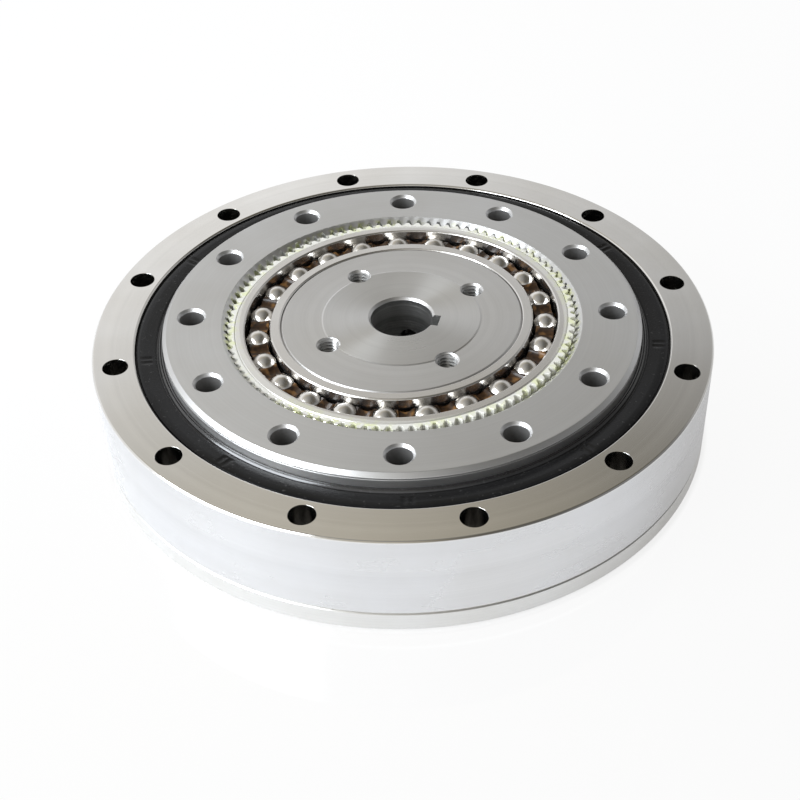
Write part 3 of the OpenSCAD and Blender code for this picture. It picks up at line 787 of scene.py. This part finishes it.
@dataclass(frozen=True)
class Layout:
    """Heights and radii that several pieces share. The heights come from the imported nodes' boxes."""

    unit_r: float
    unit_top: float
    outer_top: float
    brim_top: float
    output_low: float
    race_low: float
    race_top: float
    rim_low: float
    rim_top: float
    lobe_deg: float = 29.0
    lobe_h: float = 0.61
    oval: float = 0.61 / 29.59
    land_r: float = 42.5
    seal_bore_r: float = 47.5
    seal_low: float = 15.3
    roller_r: float = 44.6
    roller_z: float = 9.8
    track_half: float = 2.9
    ball_path_r: float = 25.58
    ball_r: float = 2.38
    ball_count: int = 23
    ball_phase: float = -27.0
    module: float = 0.61
    flank_slope: float = math.tan(math.radians(30))
    weld: float = 0.001
    bolt_r: float = 51.0
    bolt_count: int = 12
    hole_r: float = 2.25
    screw_count: int = 4
    screw_phase: float = 45.0

    @classmethod
    def from_frame(cls) -> "Layout":
        """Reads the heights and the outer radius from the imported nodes."""
        top = {n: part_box(n)[1].z / MM for n in ("outer_ring", "output_ring", "inner_race", "flexspline")}
        low = {n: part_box(n)[0].z / MM for n in ("outer_ring", "output_ring", "inner_race")}
        rim_width = 6.8
        return cls(unit_r=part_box("outer_ring")[1].x / MM, unit_top=top["output_ring"],
                   outer_top=top["outer_ring"], brim_top=low["outer_ring"], output_low=low["output_ring"],
                   race_low=low["inner_race"], race_top=top["inner_race"],
                   rim_low=top["flexspline"] - rim_width, rim_top=top["flexspline"])

    @property
    def ball_z(self) -> float:
        """Height of the balls' centres."""
        return (self.race_low + self.race_top) / 2

    def track(self, land_r: float) -> list[Point]:
        """Gives the three points where the rollers' square track opens a ring's land, from low to high."""
        reach = self.track_half - abs(land_r - self.roller_r)
        tip = self.roller_r + (self.track_half if land_r > self.roller_r else -self.track_half)
        return [(land_r, self.roller_z - reach), (tip, self.roller_z), (land_r, self.roller_z + reach)]

    def tooth(self, count: int, start: float, end: float, play: float = 0.0) -> list[Point]:
        """Gives one pitch of a tooth's or a tooth space's outline as (radius, angle in degrees).

        Args:
            count: Teeth round the ring.
            start: Distance outside the pitch circle at which the outline starts.
            end: Distance outside the pitch circle to which it goes.
            play: Width that is taken off each tooth.

        Returns:
            The outline's points.
        """
        pitch_r, wide = self.module * count / 2, (math.pi * self.module / 2 - play) / 2
        (r, a), (end_r, end_a) = [(pitch_r + h, math.degrees((wide - h * self.flank_slope) / (pitch_r + h)))
                                  for h in (start, end)]
        return [(r, -a), (end_r, -end_a), (end_r, end_a), (r, a), (r, 360 / count - a)]

    def balls(self, height: float, phase: float) -> RingOf:
        """Gives the balls' oval path at a height, from a phase on."""
        return RingOf(self.ball_count, self.ball_path_r, height, phase, self.oval, self.lobe_deg)

    def teeth(self, count: int) -> RingOf:
        """Gives the ring that a toothed ring's slices are welded in."""
        return RingOf(count, lobe=self.lobe_deg, weld=self.weld)

    def to_oval(self, mesh: Mesh, start_r: float = 0.0, full_r: float = 0.0) -> None:
        """Presses a round mesh into the wave generator's oval.

        Args:
            mesh: The mesh, in metres.
            start_r: Radius up to which it stays round.
            full_r: Radius from which it has the full oval.
        """
        lobe = math.radians(self.lobe_deg)
        press = (Matrix.Rotation(lobe, 3, "Z") @ Matrix.Diagonal((1 + self.oval, 1 - self.oval, 1))
                 @ Matrix.Rotation(-lobe, 3, "Z"))
        for vertex in mesh.vertices:
            r = vertex.co.xy.length / MM
            share = 1.0 if full_r <= start_r else max(0.0, min(1.0, (r - start_r) / (full_r - start_r)))
            vertex.co = vertex.co.lerp(press @ vertex.co, share * share * (3 - 2 * share))


# Sub-assemblies


@dataclass
class SubAssembly:
    """Pieces that are built together, with the sizes that they share with the rest."""

    layout: Layout


@dataclass
class OuterRing(SubAssembly):
    """Outer ring of the crossed roller bearing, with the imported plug, pin and sealing ring in it."""

    segments: int = 384
    chamfer: float = 0.28
    foot: float = 0.35
    mouth: float = 0.25
    land: float = 44.9
    edge: float = 0.08
    hole_break: float = 0.02
    wall_skin: float = 0.06
    plug_angle: float = 75.0
    plug_r: float = 3.42
    groove: tuple[float, float, float] = (45.44, 47.16, 1.54)

    def section(self) -> list[Point]:
        """Gives the ring's section, with the roller track and the sealing ring's groove."""
        at, land, seat = self.layout, self.land, self.layout.seal_bore_r
        r, top, low = at.unit_r, at.outer_top, at.brim_top
        inner, outer, deep = self.groove
        return [(land, low), (inner, low), (inner, low + deep), (outer, low + deep), (outer, low),
                (r - self.foot, low), (r, low + self.foot), (r, top - self.chamfer), (r - self.chamfer, top),
                (seat + self.mouth, top), (seat, top - self.mouth), (seat, at.seal_low), (land, at.seal_low),
                *reversed(at.track(land))]

    def build(self) -> None:
        """Builds the ring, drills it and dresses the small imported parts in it."""
        at = self.layout
        ring = as_object(spun(rounded(self.section(), self.edge), self.segments), "outer_ring_body")
        hole = drilled(at.hole_r, at.outer_top, at.outer_top - at.brim_top + PAST, at.hole_r + self.hole_break)
        holes = RingOf(at.bolt_count, at.bolt_r).make("outer_holes", hole, "ground")
        plug_hole = lathed([(self.plug_r, at.roller_r), (self.plug_r, at.unit_r + PAST)], 64)
        turn = Matrix.Rotation(math.radians(self.plug_angle), 4, "Z") @ LYING
        plug_hole.transform(Matrix.Translation((0, 0, at.roller_z * MM)) @ turn)
        carve(ring, holes, as_object(plug_hole, "plug_hole"))
        dress_nodes(roller_plug="ground", plug_pin="black", brim_o_ring="cord_rubber")
        settle(ring, "ground", Body.HOUSING, "outer_ring")
        # The side wall gets its own grind and a darker copy of the ring's steel, which paints shade.
        dress_faces(ring, "wall", lambda r, z, up: r > at.unit_r - self.wall_skin and abs(up) < 0.1)


@dataclass
class BrimScrews(SubAssembly):
    """Countersunk socket screws that hold the brim to the outer ring."""

    head_r: float = 2.36
    shank_r: float = 1.25
    sink: float = 0.1
    length: float = 8.0
    socket_r: float = 0.75
    socket_deep: float = 1.0

    def build(self) -> None:
        """Builds one screw, head down, and sets it round the brim."""
        at, socket, foot = self.layout, hexagon(self.socket_r), self.sink
        deep, end = foot + self.socket_deep, foot + self.length
        screw = lathed([(0, deep + 0.2), (socket, deep), (socket, foot + 0.08), (self.socket_r * 1.25, foot),
                        (self.head_r - 0.08, foot), (self.head_r, foot + 0.06), (self.head_r, foot + 0.2),
                        (self.shank_r, foot + 1.5), (self.shank_r, end - 0.3), (self.shank_r - 0.3, end),
                        (0, end)], 48)
        ring = RingOf(at.screw_count, at.bolt_r, phase=at.screw_phase)
        settle(ring.make("brim_screw_set", screw, "black"), "black", Body.HOUSING, "brim_screws")


@dataclass
class RollerSet(SubAssembly):
    """Crossed rollers and their spacers, which the rings hide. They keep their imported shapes."""

    def build(self) -> None:
        """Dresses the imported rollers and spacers."""
        dress_nodes(rollers_out="roller", rollers_in="roller", roller_spacers="spacer")


@dataclass
class ShaftSeal(SubAssembly):
    """Rubber seal between the two rings, with a main lip, a dust lip and pairs of vent notches."""

    segments: int = 720
    lip_r: float = 42.58
    sunk: float = 0.35
    wiped: float = 1.2
    notch_pairs: int = 9
    notch_phase: float = 18.7
    notch_gap: float = 1.5
    notch_width: float = 0.55
    notch_deep: float = 0.16
    notch_r: tuple[float, float] = (44.6, 46.1)
    dense_r: tuple[float, float] = (44.2, 46.4)
    dense_low: float = 18.5
    dense_step: float = 0.2

    def section(self) -> list[Point]:
        """Gives the seal's section, with points close together where the face has notches."""
        out, lip = self.layout.seal_bore_r - 0.03, self.lip_r
        low, top = self.layout.seal_low, self.layout.outer_top - self.sunk
        corners = [
            (out, low), (out, top - 0.55), (out - 0.28, top - 0.5), (out - 0.32, top - 0.12),
            (out - 0.75, top), (out - 1.5, top + 0.03), (lip + 2.4, top - 0.05), (lip + 1.35, top - 0.15),
            (lip + 1.05, top - 0.52), (lip + 0.85, top - 0.2), (lip + 0.66, top + 0.02),
            (lip + 0.5, top - 0.02), (lip + 0.42, top - 0.3), (lip + 0.34, top - 0.08),
            (lip + 0.16, top + 0.04), (lip, top - 0.12), (lip, top - 0.3),
            (lip + 0.5, top - 1.05), (lip + 0.5, low + 1.7), (lip, low + 1.2), (lip, low + 0.9),
            (lip + 0.5, low + 0.5), (lip + 1.4, low + 0.5), (lip + 1.4, top - 1.55), (out - 1.6, top - 1.55),
            (out - 1.6, low)]
        section = rounded(corners, 0.09, support=0.03)
        dense: list[Point] = []
        (near, far), step = self.dense_r, self.dense_step
        for here, there in zip(section, section[1:] + section[:1]):
            dense.append(here)
            length = math.dist(here, there)
            if near < here[0] < far and here[1] > self.dense_low and length > 2 * step:
                parts = math.ceil(length / step)
                dense += [tuple(Vector(here).lerp(Vector(there), k / parts)) for k in range(1, parts)]
        return dense

    def notch(self, radius: float, angle: float) -> float:
        """Gives how deep the face is pressed in at a radius and an angle in degrees."""
        pitch = 360 / self.notch_pairs
        place = (angle - self.notch_phase + pitch / 2) % pitch - pitch / 2
        near = min(abs(place - self.notch_gap / 2), abs(place + self.notch_gap / 2))
        inside = self.notch_r[0] < radius < self.notch_r[1] and near < self.notch_width / 2
        return self.notch_deep if inside else 0.0

    def build(self) -> None:
        """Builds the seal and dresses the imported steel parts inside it."""
        seal = as_object(spun(self.section(), self.segments, self.notch), "seal_body")
        dress_nodes(seal_case="case", seal_spring="roller")
        settle(seal, "rubber", Body.HOUSING, "seal_lip", crease=50)
        dress_faces(seal, "lip", lambda r, z, up: r < self.lip_r + self.wiped)


@dataclass
class OutputRing(SubAssembly):
    """Toothed output ring, which is also the inner ring of the roller bearing."""

    teeth: int = 102
    addendum: float = 0.35
    dedendum: float = 0.42
    mouth_r: float = 32.0
    clear_r: float = 32.3
    tooth_low: float = 14.3
    track_land_r: float = 44.3
    foot: float = 0.6
    seal_room: float = 0.3
    chamfer: float = 0.72
    land_line: float = 1.0
    line_deep: float = 0.1
    edge: float = 0.07
    hole_circle: float = 37.5
    hole_count: int = 12
    hole_phase: float = 17.0
    hole_clear: float = 2.6
    hole_mouth: float = 0.5
    tap_depth: float = 10.0
    tap_plain: float = 4.4

    def sector(self) -> Mesh:
        """Builds the slice of the ring that belongs to one tooth."""
        at, land, track, deep = self.layout, self.layout.land_r, self.track_land_r, self.line_deep
        top, low, line = at.unit_top, at.output_low, at.unit_top - self.land_line
        shell = rounded([
            (self.clear_r, self.tooth_low), (self.clear_r, low), (track - self.foot, low),
            (track, low + self.foot), *at.track(track), (track, at.seal_low - self.seal_room),
            (land, at.seal_low - self.seal_room),
            (land, line - 0.14), (land - deep, line - 0.1), (land - deep, line - 0.04), (land, line),
            (land, top - self.chamfer), (land - self.chamfer, top), (self.mouth_r, top)], self.edge)
        space = at.tooth(self.teeth, -self.addendum, self.dedendum)
        return tooth_slice(self.teeth, space, shell,
                           lambda r: [(r, top - (self.mouth_r - r)), (r, self.tooth_low)])

    def build(self) -> None:
        """Builds the ring from its slices and taps its bolt holes."""
        at, circle = self.layout, self.hole_circle
        ring = at.teeth(self.teeth).make("output_ring_body", self.sector(), "satin")
        hole = threaded(crest=2.15, root=2.5, pitch=0.8, top=at.unit_top, depth=self.tap_depth, mouth=2.62,
                        plain=self.tap_plain)
        holes = RingOf(self.hole_count, circle, phase=self.hole_phase).make("output_holes", hole, "satin")
        carve(ring, holes)
        settle(ring, "satin", Body.OUTPUT, "output_ring")
        brink = at.unit_top - self.hole_mouth
        # Painted highlight: the land wall gets a lighter copy of the steel.
        dress_faces(ring, "land", lambda r, z, up: abs(r - at.land_r) < 0.02 and abs(up) < STEEP)
        # Painted shade: the bolt holes' walls below their mouths get the darker drilled finish.
        dress_faces(ring, "drilled", lambda r, z, up: abs(r - circle) < self.hole_clear and z < brink)


@dataclass
class Flexspline(SubAssembly):
    """Thin toothed hat: a brim, a diaphragm, a tube and the rim that the wave generator bends."""

    teeth: int = 100
    addendum: float = 0.37
    backlash: float = 0.05
    root_r: float = 30.05
    bore_r: float = 29.59
    neutral_r: float = 29.815
    tube: tuple[float, float] = (29.64, 29.99)
    bend: float = 1.5
    bend_low: float = 4.9
    relief: float = 0.4
    diaphragm: float = 0.8
    step_r: tuple[float, float] = (44.0, 44.6)
    brim_bore_r: float = 42.48
    brim_inset: float = 0.02
    brim_foot: float = 0.5
    seat: tuple[float, float, float, float] = (2.41, 0.3, 1.29, 1.6)

    def section(self) -> list[Point]:
        """Gives the section down the inside of the tube, round the brim and up the outside of the tube."""
        top, brim_r, bore = self.layout.brim_top, self.layout.unit_r - self.brim_inset, self.brim_bore_r
        floor_z, (inner, outer) = top - self.relief, self.tube
        bend_r, bend_z = self.root_r + self.bend, floor_z + self.bend
        heights = [bend_z + 1.2 + k * 2.4 for k in range(4)]

        def arc(wall: float, start: float, end: float) -> list[Point]:
            """Gives the bend from one side of the tube's wall into the diaphragm, or back."""
            angles = [math.radians(start + (end - start) * k / 8) for k in range(9)]
            r = bend_r - wall
            return [(bend_r + r * math.cos(a), bend_z + r * math.sin(a)) for a in angles]

        brim = rounded([(bore, floor_z - self.diaphragm), (bore, 0.3), (bore + 0.3, 0),
                        (brim_r - self.brim_foot, 0), (brim_r, self.brim_foot), (brim_r, top - 0.2),
                        (brim_r - 0.2, top), (self.step_r[1], top), (self.step_r[0], floor_z)], 0.06)
        return ([(inner, z) for z in reversed(heights)] + arc(inner, 180, 270) + brim + arc(outer, 270, 180)
                + [(outer, z) for z in heights])

    def bent(self, mesh: Mesh) -> None:
        """Bends the upper part of the round hat as the wave generator does, along the wall's neutral line."""
        at, neutral = self.layout, self.neutral_r * MM
        lobe_axis = math.radians(at.lobe_deg)
        low, high = self.bend_low, at.rim_low + 0.6
        for vertex in mesh.vertices:
            x, y, z = vertex.co
            share = max(0.0, min(1.0, (z / MM - low) / (high - low)))
            if share == 0.0:
                continue
            r, a = math.hypot(x, y), math.atan2(y, x)
            lift = at.lobe_h * MM * share
            swing = 2 * (a - lobe_axis)
            shift = -lift / 2 * math.sin(swing) / neutral
            tilt = 2 * lift * math.sin(swing) / neutral
            wall, skin = neutral + lift * math.cos(swing), r - neutral
            vertex.co = (wall * math.cos(a + shift) + skin * math.cos(a + shift + tilt),
                         wall * math.sin(a + shift) + skin * math.sin(a + shift + tilt), z)

    def sector(self) -> Mesh:
        """Builds the slice of the hat that belongs to one tooth."""
        at, bore = self.layout, self.bore_r
        low, top = at.rim_low, at.rim_top
        shell = [(bore + 0.06, top), (bore, top - 0.06), (bore, low), *self.section()]
        tooth = at.tooth(self.teeth, self.root_r - at.module * self.teeth / 2, self.addendum, self.backlash)
        return tooth_slice(self.teeth, tooth, shell, lambda r: [(r, low), (r, top - 0.1), (r - 0.1, top)])

    def build(self) -> None:
        """Builds the hat from its slices, bends it and drills the brim."""
        at, above = self.layout, self.layout.brim_top + PAST
        hat = at.teeth(self.teeth).make("flexspline_body", self.sector(), "flex")
        self.bent(hat.data)
        plain = lathed([(at.hole_r, -PAST), (at.hole_r, above)], 48)
        holes = RingOf(at.bolt_count, at.bolt_r).make("brim_holes", plain, "flex")
        head_r, head_z, shank_r, shank_z = self.seat
        sink = lathed([(head_r, -PAST), (head_r, head_z), (shank_r, shank_z), (shank_r, above)], 48)
        seats = RingOf(at.screw_count, at.bolt_r, phase=at.screw_phase).make("brim_seats", sink, "flex")
        carve(hat, holes, seats)
        settle(hat, "flex", Body.HOUSING, "flexspline")


@dataclass
class Races(SubAssembly):
    """Thin inner and outer race of the wave generator's bearing, both pressed into the oval."""

    segments: int = 320
    outer_r: float = 29.57
    outer_land: float = 27.78
    inner_land: float = 23.38
    inner_r: float = 21.5
    chamfer: float = 0.22
    edge: float = 0.2
    groove_r: float = 2.44

    def section(self, plain: float, land: float) -> list[Point]:
        """Gives a race's section from its plain side to its grooved side.

        Args:
            plain: Radius of the plain side.
            land: Radius of the shoulders beside the groove.

        Returns:
            The section, counter-clockwise.
        """
        at, side = self.layout, 1 if plain > land else -1
        low, top, c, edge = at.race_low, at.race_top, self.chamfer, self.edge
        reach = math.acos(abs(at.ball_path_r - land) / self.groove_r)
        arc = [(at.ball_path_r + side * self.groove_r * math.cos(t), at.ball_z + self.groove_r * math.sin(t))
               for t in (reach * (1 - k / 6) for k in range(13))]
        points = [(plain, low + edge), (plain, top - edge), (plain - side * edge, top), (land + side * c, top),
                  (land, top - c), *arc, (land, low + c), (land + side * c, low), (plain - side * edge, low)]
        return points if side > 0 else points[::-1]

    def build(self) -> None:
        """Builds both races."""
        for name, plain, land, body, node in (
                ("outer_race_ring", self.outer_r, self.outer_land, Body.HOUSING, "outer_race"),
                ("inner_race_ring", self.inner_r, self.inner_land, Body.GENERATOR, "inner_race")):
            mesh = spun(rounded(self.section(plain, land), 0.05), self.segments)
            self.layout.to_oval(mesh)
            settle(as_object(mesh, name), "race", body, node)


@dataclass
class BallSet(SubAssembly):
    """Balls of the wave generator's bearing and the laminate cage that spaces them."""

    cage_inner: float = 23.95
    cage_outer: float = 27.15
    cage_low: float = 15.77
    cage_top: float = 19.9
    pocket_play: float = 0.1
    saddle_r: float = 1.5
    saddle_deep: float = 0.75
    saddle_half: float = 3.0

    def ball(self, radius: float, around: int) -> Mesh:
        """Builds a ball at the origin, with 24 faces from pole to pole."""
        tilts = [math.pi * k / 24 for k in range(1, 24)]
        belts = [(radius * math.sin(t), -radius * math.cos(t)) for t in tilts]
        return lathed([(0, -radius), *belts, (0, radius)], around)

    def build(self) -> None:
        """Builds the balls and cuts their pockets in the cage."""
        at = self.layout
        places = at.balls(at.ball_z, at.ball_phase)
        balls = places.make("ball_ring", self.ball(at.ball_r, 48), "ball")
        settle(balls, "ball", Body.BALLS, "balls", crease=60)
        section = [(self.cage_inner, self.cage_low), (self.cage_outer, self.cage_low),
                   (self.cage_outer, self.cage_top), (self.cage_inner, self.cage_top)]
        mesh = spun(rounded(section, 0.12), 12 * at.ball_count)
        at.to_oval(mesh)
        pockets = places.make("pockets", self.ball(at.ball_r + self.pocket_play, 40), "cage")
        saddle = lathed([(self.saddle_r, x) for x in (-self.saddle_half, self.saddle_half)], 32)
        saddle.transform(LYING)
        height = self.cage_top + self.saddle_r - self.saddle_deep
        saddles = at.balls(height, at.ball_phase + 180 / at.ball_count).make("saddles", saddle, "cage")
        cage = carve(as_object(mesh, "cage_ring"), pockets, saddles)
        settle(cage, "cage", Body.BALLS, "ball_cage", crease=35)


@dataclass
class Hub(SubAssembly):
    """Oval hub of the wave generator, with its keyed bore, threaded holes and set screws."""

    segments: int = 320
    cam_r: float = 21.47
    lip_r: float = 22.29
    lip_low: float = 15.2
    step_r: float = 14.0
    step_deep: float = 0.1
    oval_r: tuple[float, float] = (14.6, 20.0)
    boss_r: float = 11.5
    boss_low: float = 9.2
    bore_r: float = 5.5
    bore_break: float = 0.42
    ridge_pitch: float = 0.42
    ridge_deep: float = 0.03
    ridge_inset: float = 0.8
    key_w: float = 3.0
    key_r: float = 6.9
    phase: float = 19.0
    tap_circle: float = 15.0
    tap_count: int = 4
    tap_depth: float = 6.9
    tap_clear: float = 2.2
    mouth_deep: float = 0.45
    bore_skin: float = 0.6
    cross_r: float = 2.03
    set_count: int = 2
    set_z: float = 12.45
    set_reach: float = 4.3

    def section(self) -> list[Point]:
        """Gives the hub's section, from the bore round the boss and the cam to the face."""
        at, low, lip, bore, boss = self.layout, self.boss_low, self.lip_low, self.bore_r, self.boss_r
        top, face, neck = at.race_top, at.race_top - self.step_deep, at.race_low - 0.02
        return [(bore, low + 0.4), (bore + 0.4, low), (boss - 0.3, low), (boss, low + 0.3), (boss, lip - 0.4),
                (boss + 0.4, lip), (16.0, lip), (20.0, lip), (self.lip_r, lip), (self.lip_r, neck),
                (self.cam_r, neck), (self.cam_r, face - 0.3), (self.cam_r - 0.3, face), (19.5, face),
                (17.0, face), (15.2, face), (self.step_r + 0.25, face), (self.step_r, top),
                (bore + self.bore_break, top), (bore, top - self.bore_break)]

    def bore_ridges(self) -> list[Point]:
        """Gives the fine ridges that the boring tool leaves, from the top of the bore down."""
        high, low = self.layout.race_top - self.ridge_inset, self.boss_low + self.ridge_inset
        count = 2 * round((high - low) / self.ridge_pitch)
        return [(self.bore_r + (self.ridge_deep if k % 2 else 0.0), high + (low - high) * k / count)
                for k in range(count + 1)]

    def set_screw(self) -> Mesh:
        """Builds one grub screw that points inwards along the x axis, with its socket outside."""
        socket = hexagon(1.1)
        mesh = lathed([(0, 0.3), (0.8, 0.3), (1.3, 0.0), (2.0, 0.7), (2.0, 3.8), (1.8, 4.0), (1.35, 4.0),
                       (socket, 3.9), (socket, 2.0), (0, 1.8)], 48)
        mesh.transform(LYING)
        return mesh

    def keyway(self) -> Piece:
        """Builds the block that cuts the keyway."""
        key = bmesh.new()
        bmesh.ops.create_cube(key, size=1.0)
        height, middle = 20.0, 15.0
        bmesh.ops.scale(key, vec=Vector((self.key_r, self.key_w, height)) * MM, verts=key.verts)
        bmesh.ops.translate(key, vec=Vector((self.key_r / 2, 0, middle)) * MM, verts=key.verts)
        mesh = as_mesh(key, "key")
        mesh.transform(Matrix.Rotation(math.radians(self.phase - 45), 4, "Z"))
        return as_object(mesh, "keyway")

    def build(self) -> None:
        """Builds the hub, cuts its holes and fits the set screws."""
        at, circle, across = self.layout, self.tap_circle, self.phase + 45
        mesh = spun(rounded(self.section(), 0.06) + self.bore_ridges(), self.segments)
        at.to_oval(mesh, *self.oval_r)
        hub = as_object(mesh, "hub_body")
        tap = threaded(crest=1.66, root=2.0, pitch=0.7, top=at.race_top - self.step_deep, depth=self.tap_depth,
                       mouth=2.16, through=True)
        taps = RingOf(self.tap_count, circle, phase=self.phase).make("hub_taps", tap, "hub")
        keyway = self.keyway()
        cross = lathed([(self.cross_r, x) for x in (self.bore_r - PAST, self.boss_r + PAST)], 40)
        cross.transform(LYING)
        cross_holes = RingOf(self.set_count, height=self.set_z, phase=across).make("cross_holes", cross, "hub")
        carve(hub, taps, keyway, cross_holes)
        settle(hub, "hub", Body.GENERATOR, "cam_hub")
        brink, face = at.race_top - self.mouth_deep, at.race_top - self.step_deep / 2
        bore_r = self.key_r + self.bore_skin
        # Painted shade: the bore below its mouth gets a darker steel.
        dress_faces(hub, "bore", lambda r, z, up: r < bore_r and z < brink and abs(up) < STEEP)
        dress_faces(hub, "disc", lambda r, z, up: r < self.step_r + 0.06 and z > face and up > 0.9)
        # Painted shade: the tapped holes below their mouths get a darker steel.
        dress_faces(hub, "tapped", lambda r, z, up: abs(r - circle) < self.tap_clear and z < brink)
        pair = RingOf(self.set_count, self.boss_r - self.set_reach, self.set_z, across)
        settle(pair.make("set_screw_pair", self.set_screw(), "black"), "black", Body.GENERATOR,
               "set_screws")


# Studio


@dataclass(frozen=True)
class SoftBox:
    """Square lamp that faces the unit."""

    name: str
    azimuth: float
    elevation: float
    distance: float
    size: float
    power: float
    colour: Colour

    def place(self) -> None:
        """Adds the lamp."""
        lamp = bpy.data.lights.new(self.name, "AREA")
        lamp.shape, lamp.size, lamp.energy, lamp.color = "SQUARE", self.size, self.power, self.colour
        made = bpy.data.objects.new(self.name, lamp)
        a, e = math.radians(self.azimuth), math.radians(self.elevation)
        way = Vector((math.cos(a) * math.cos(e), math.sin(a) * math.cos(e), math.sin(e)))
        made.location = way * self.distance
        made.rotation_euler = (-made.location).to_track_quat("-Z", "Y").to_euler()
        bpy.context.scene.collection.objects.link(made)


@dataclass(frozen=True)
class Studio:
    """Camera, lamp, world and floor."""

    lens: float = 65.69
    sensor: float = 36.0
    azimuth: float = -11.28
    elevation: float = 39.53
    roll: float = 1.855
    offset: tuple[float, float, float] = (-0.7514, -13.6202, 261.205)
    aim_z: float = 19.8
    table_half: float = 15.0
    table_gap: float = 0.05
    lamp: SoftBox = SoftBox("left_box", 196.0, 28.0, 0.60, 0.45, 5.8, (0.89, 0.94, 1.0))

    def camera(self) -> None:
        """Adds the camera: offset is measured along its own tilted axes before the roll."""
        e, roll = math.radians(self.elevation), math.radians(self.roll)
        aside, lift = Vector((1, 0, 0)), Vector((0, math.sin(e), math.cos(e)))
        away = Vector((0, math.cos(e), -math.sin(e)))
        x, y, back = self.offset
        spot = (aside * x + lift * y - away * back) * MM
        right = aside * math.cos(roll) - lift * math.sin(roll)
        up = aside * math.sin(roll) + lift * math.cos(roll)
        turn = Matrix.Rotation(math.radians(self.azimuth), 4, "Z")
        axes = Matrix((right, up, -away)).transposed().to_4x4()
        data = bpy.data.cameras.new("view_camera")
        data.lens, data.sensor_width = self.lens, self.sensor
        data.clip_start, data.clip_end = 0.01, 50.0
        camera = bpy.data.objects.new("view_camera", data)
        camera.matrix_world = turn @ Matrix.Translation(spot) @ axes
        camera.location.z += self.aim_z * MM
        bpy.context.scene.collection.objects.link(camera)
        bpy.context.scene.camera = camera

    def world(self) -> None:
        """Makes the surroundings: white at eye level, softer and warmer overhead, even for diffuse light.

        The ranges are parts of a unit direction: aside is the camera's right, and front is towards the camera.
        """
        world = bpy.data.worlds.new("studio")
        bpy.context.scene.world = world
        world.use_nodes = True
        w = Wiring(world.node_tree)
        x, y, z = w.split(w.outs("ShaderNodeTexCoord")["Generated"])
        aside = x * 0.981 + y * -0.196
        front = x * -0.196 - y * 0.981
        high = w.remap(z, 0.74, 0.86)
        overhead = w.remap(z, 0.56, 0.66) * 0.40 + w.remap(z, 0.66, 0.85) * 0.10
        near_fall = w.remap(aside, -0.06, 0.20, 0.0, 0.40) * (1.0 - high)
        high_fall = w.remap(aside, -0.50, 0.45, 0.0, 0.40) * high
        front_right = w.remap(aside, 0.24, 0.60, 0.0, 0.36) * w.remap(front, -0.50, -0.20)
        level = w.calc("MAXIMUM", 1.0 - (overhead + near_fall + high_fall + front_right), 0.12)
        raised = w.remap(z, 0.60, 0.74) * w.remap(z, 0.76, 0.90, 1.0, 0.25)
        warm = raised * w.remap(aside, -0.08, 0.12)
        seen = w.mix(w.xyz(level, level, level), (1.0, 0.925, 0.76), raised, "MULTIPLY")
        seen = w.mix(seen, (1.0, 0.965, 0.87), warm, "MULTIPLY")
        rays = w.outs("ShaderNodeLightPath")
        mirrored = w.calc("ADD", rays["Is Glossy Ray"], rays["Is Transmission Ray"], clamp=True)
        lit = w.mix((0.72, 0.72, 0.73), seen, mirrored)
        colour = w.mix(lit, (1.0, 1.0, 1.0), rays["Is Camera Ray"])
        sky = w.out("ShaderNodeBackground", {"Color": colour, "Strength": 1.0})
        w.node("ShaderNodeOutputWorld", {"Surface": sky})

    def floor(self) -> None:
        """Lays the white floor, which keeps the unit's shadow and a faint mirror image."""
        half = self.table_half
        mesh = bpy.data.meshes.new("floor")
        corners = [(-half, -half, 0), (half, -half, 0), (half, half, 0), (-half, half, 0)]
        mesh.from_pydata(corners, [], [(0, 1, 2, 3)])
        floor = as_object(mesh, "floor")
        floor.location.z = -self.table_gap * MM
        grey, pale, white = (0.84, 0.84, 0.84), (0.86, 0.86, 0.86), (1.0, 1.0, 1.0, 1.0)
        material, w, shader, place = new_material("white_table", grey)
        colour = w.mix(grey, pale, w.noise(place, 3.0, detail=2.0))
        w.feed(shader, {"Base Color": colour, "Roughness": 0.6})
        mirror = w.out("ShaderNodeBsdfGlossy", {"Color": white, "Roughness": 0.05})
        glow = w.out("ShaderNodeEmission", {"Color": white, "Strength": 1.0})
        rays = w.outs("ShaderNodeLightPath")
        x, y, _ = w.split(place)
        open_table = w.remap(w.reach(x, y), 50.0 * MM, 56.0 * MM)

        def blend(factor: Value, first: Value, second: Value) -> Signal:
            """Mixes two shaders."""
            return w.out("ShaderNodeMixShader", {0: factor, 1: first, 2: second})

        lit = blend(0.45, mirror, shader.outputs[0])
        seen = blend(rays["Is Camera Ray"] * 0.92 * open_table, lit, glow)
        mirrored = blend(rays["Is Glossy Ray"] * 0.30 * open_table, shader.outputs[0], glow)
        output = next(n for n in w.tree.nodes if n.bl_idname == "ShaderNodeOutputMaterial")
        w.feed(output, {"Surface": blend(rays["Is Camera Ray"], mirrored, seen)})
        mesh.materials.append(material)

    def build(self) -> None:
        """Sets up the whole studio."""
        bpy.context.scene.view_settings.view_transform = "Standard"
        self.camera()
        self.world()
        self.floor()
        self.lamp.place()


def main() -> None:
    """Builds the studio, then the sub-assemblies in order."""
    logging.basicConfig(level=logging.INFO, format="%(message)s")
    layout = Layout.from_frame()
    Studio().build()
    for kind in (OuterRing, BrimScrews, RollerSet, ShaftSeal, OutputRing, Flexspline, Races, BallSet, Hub):
        kind(layout).build()
        LOG.info("%s is built", kind.__name__)


if __name__ == "__main__":
    main()
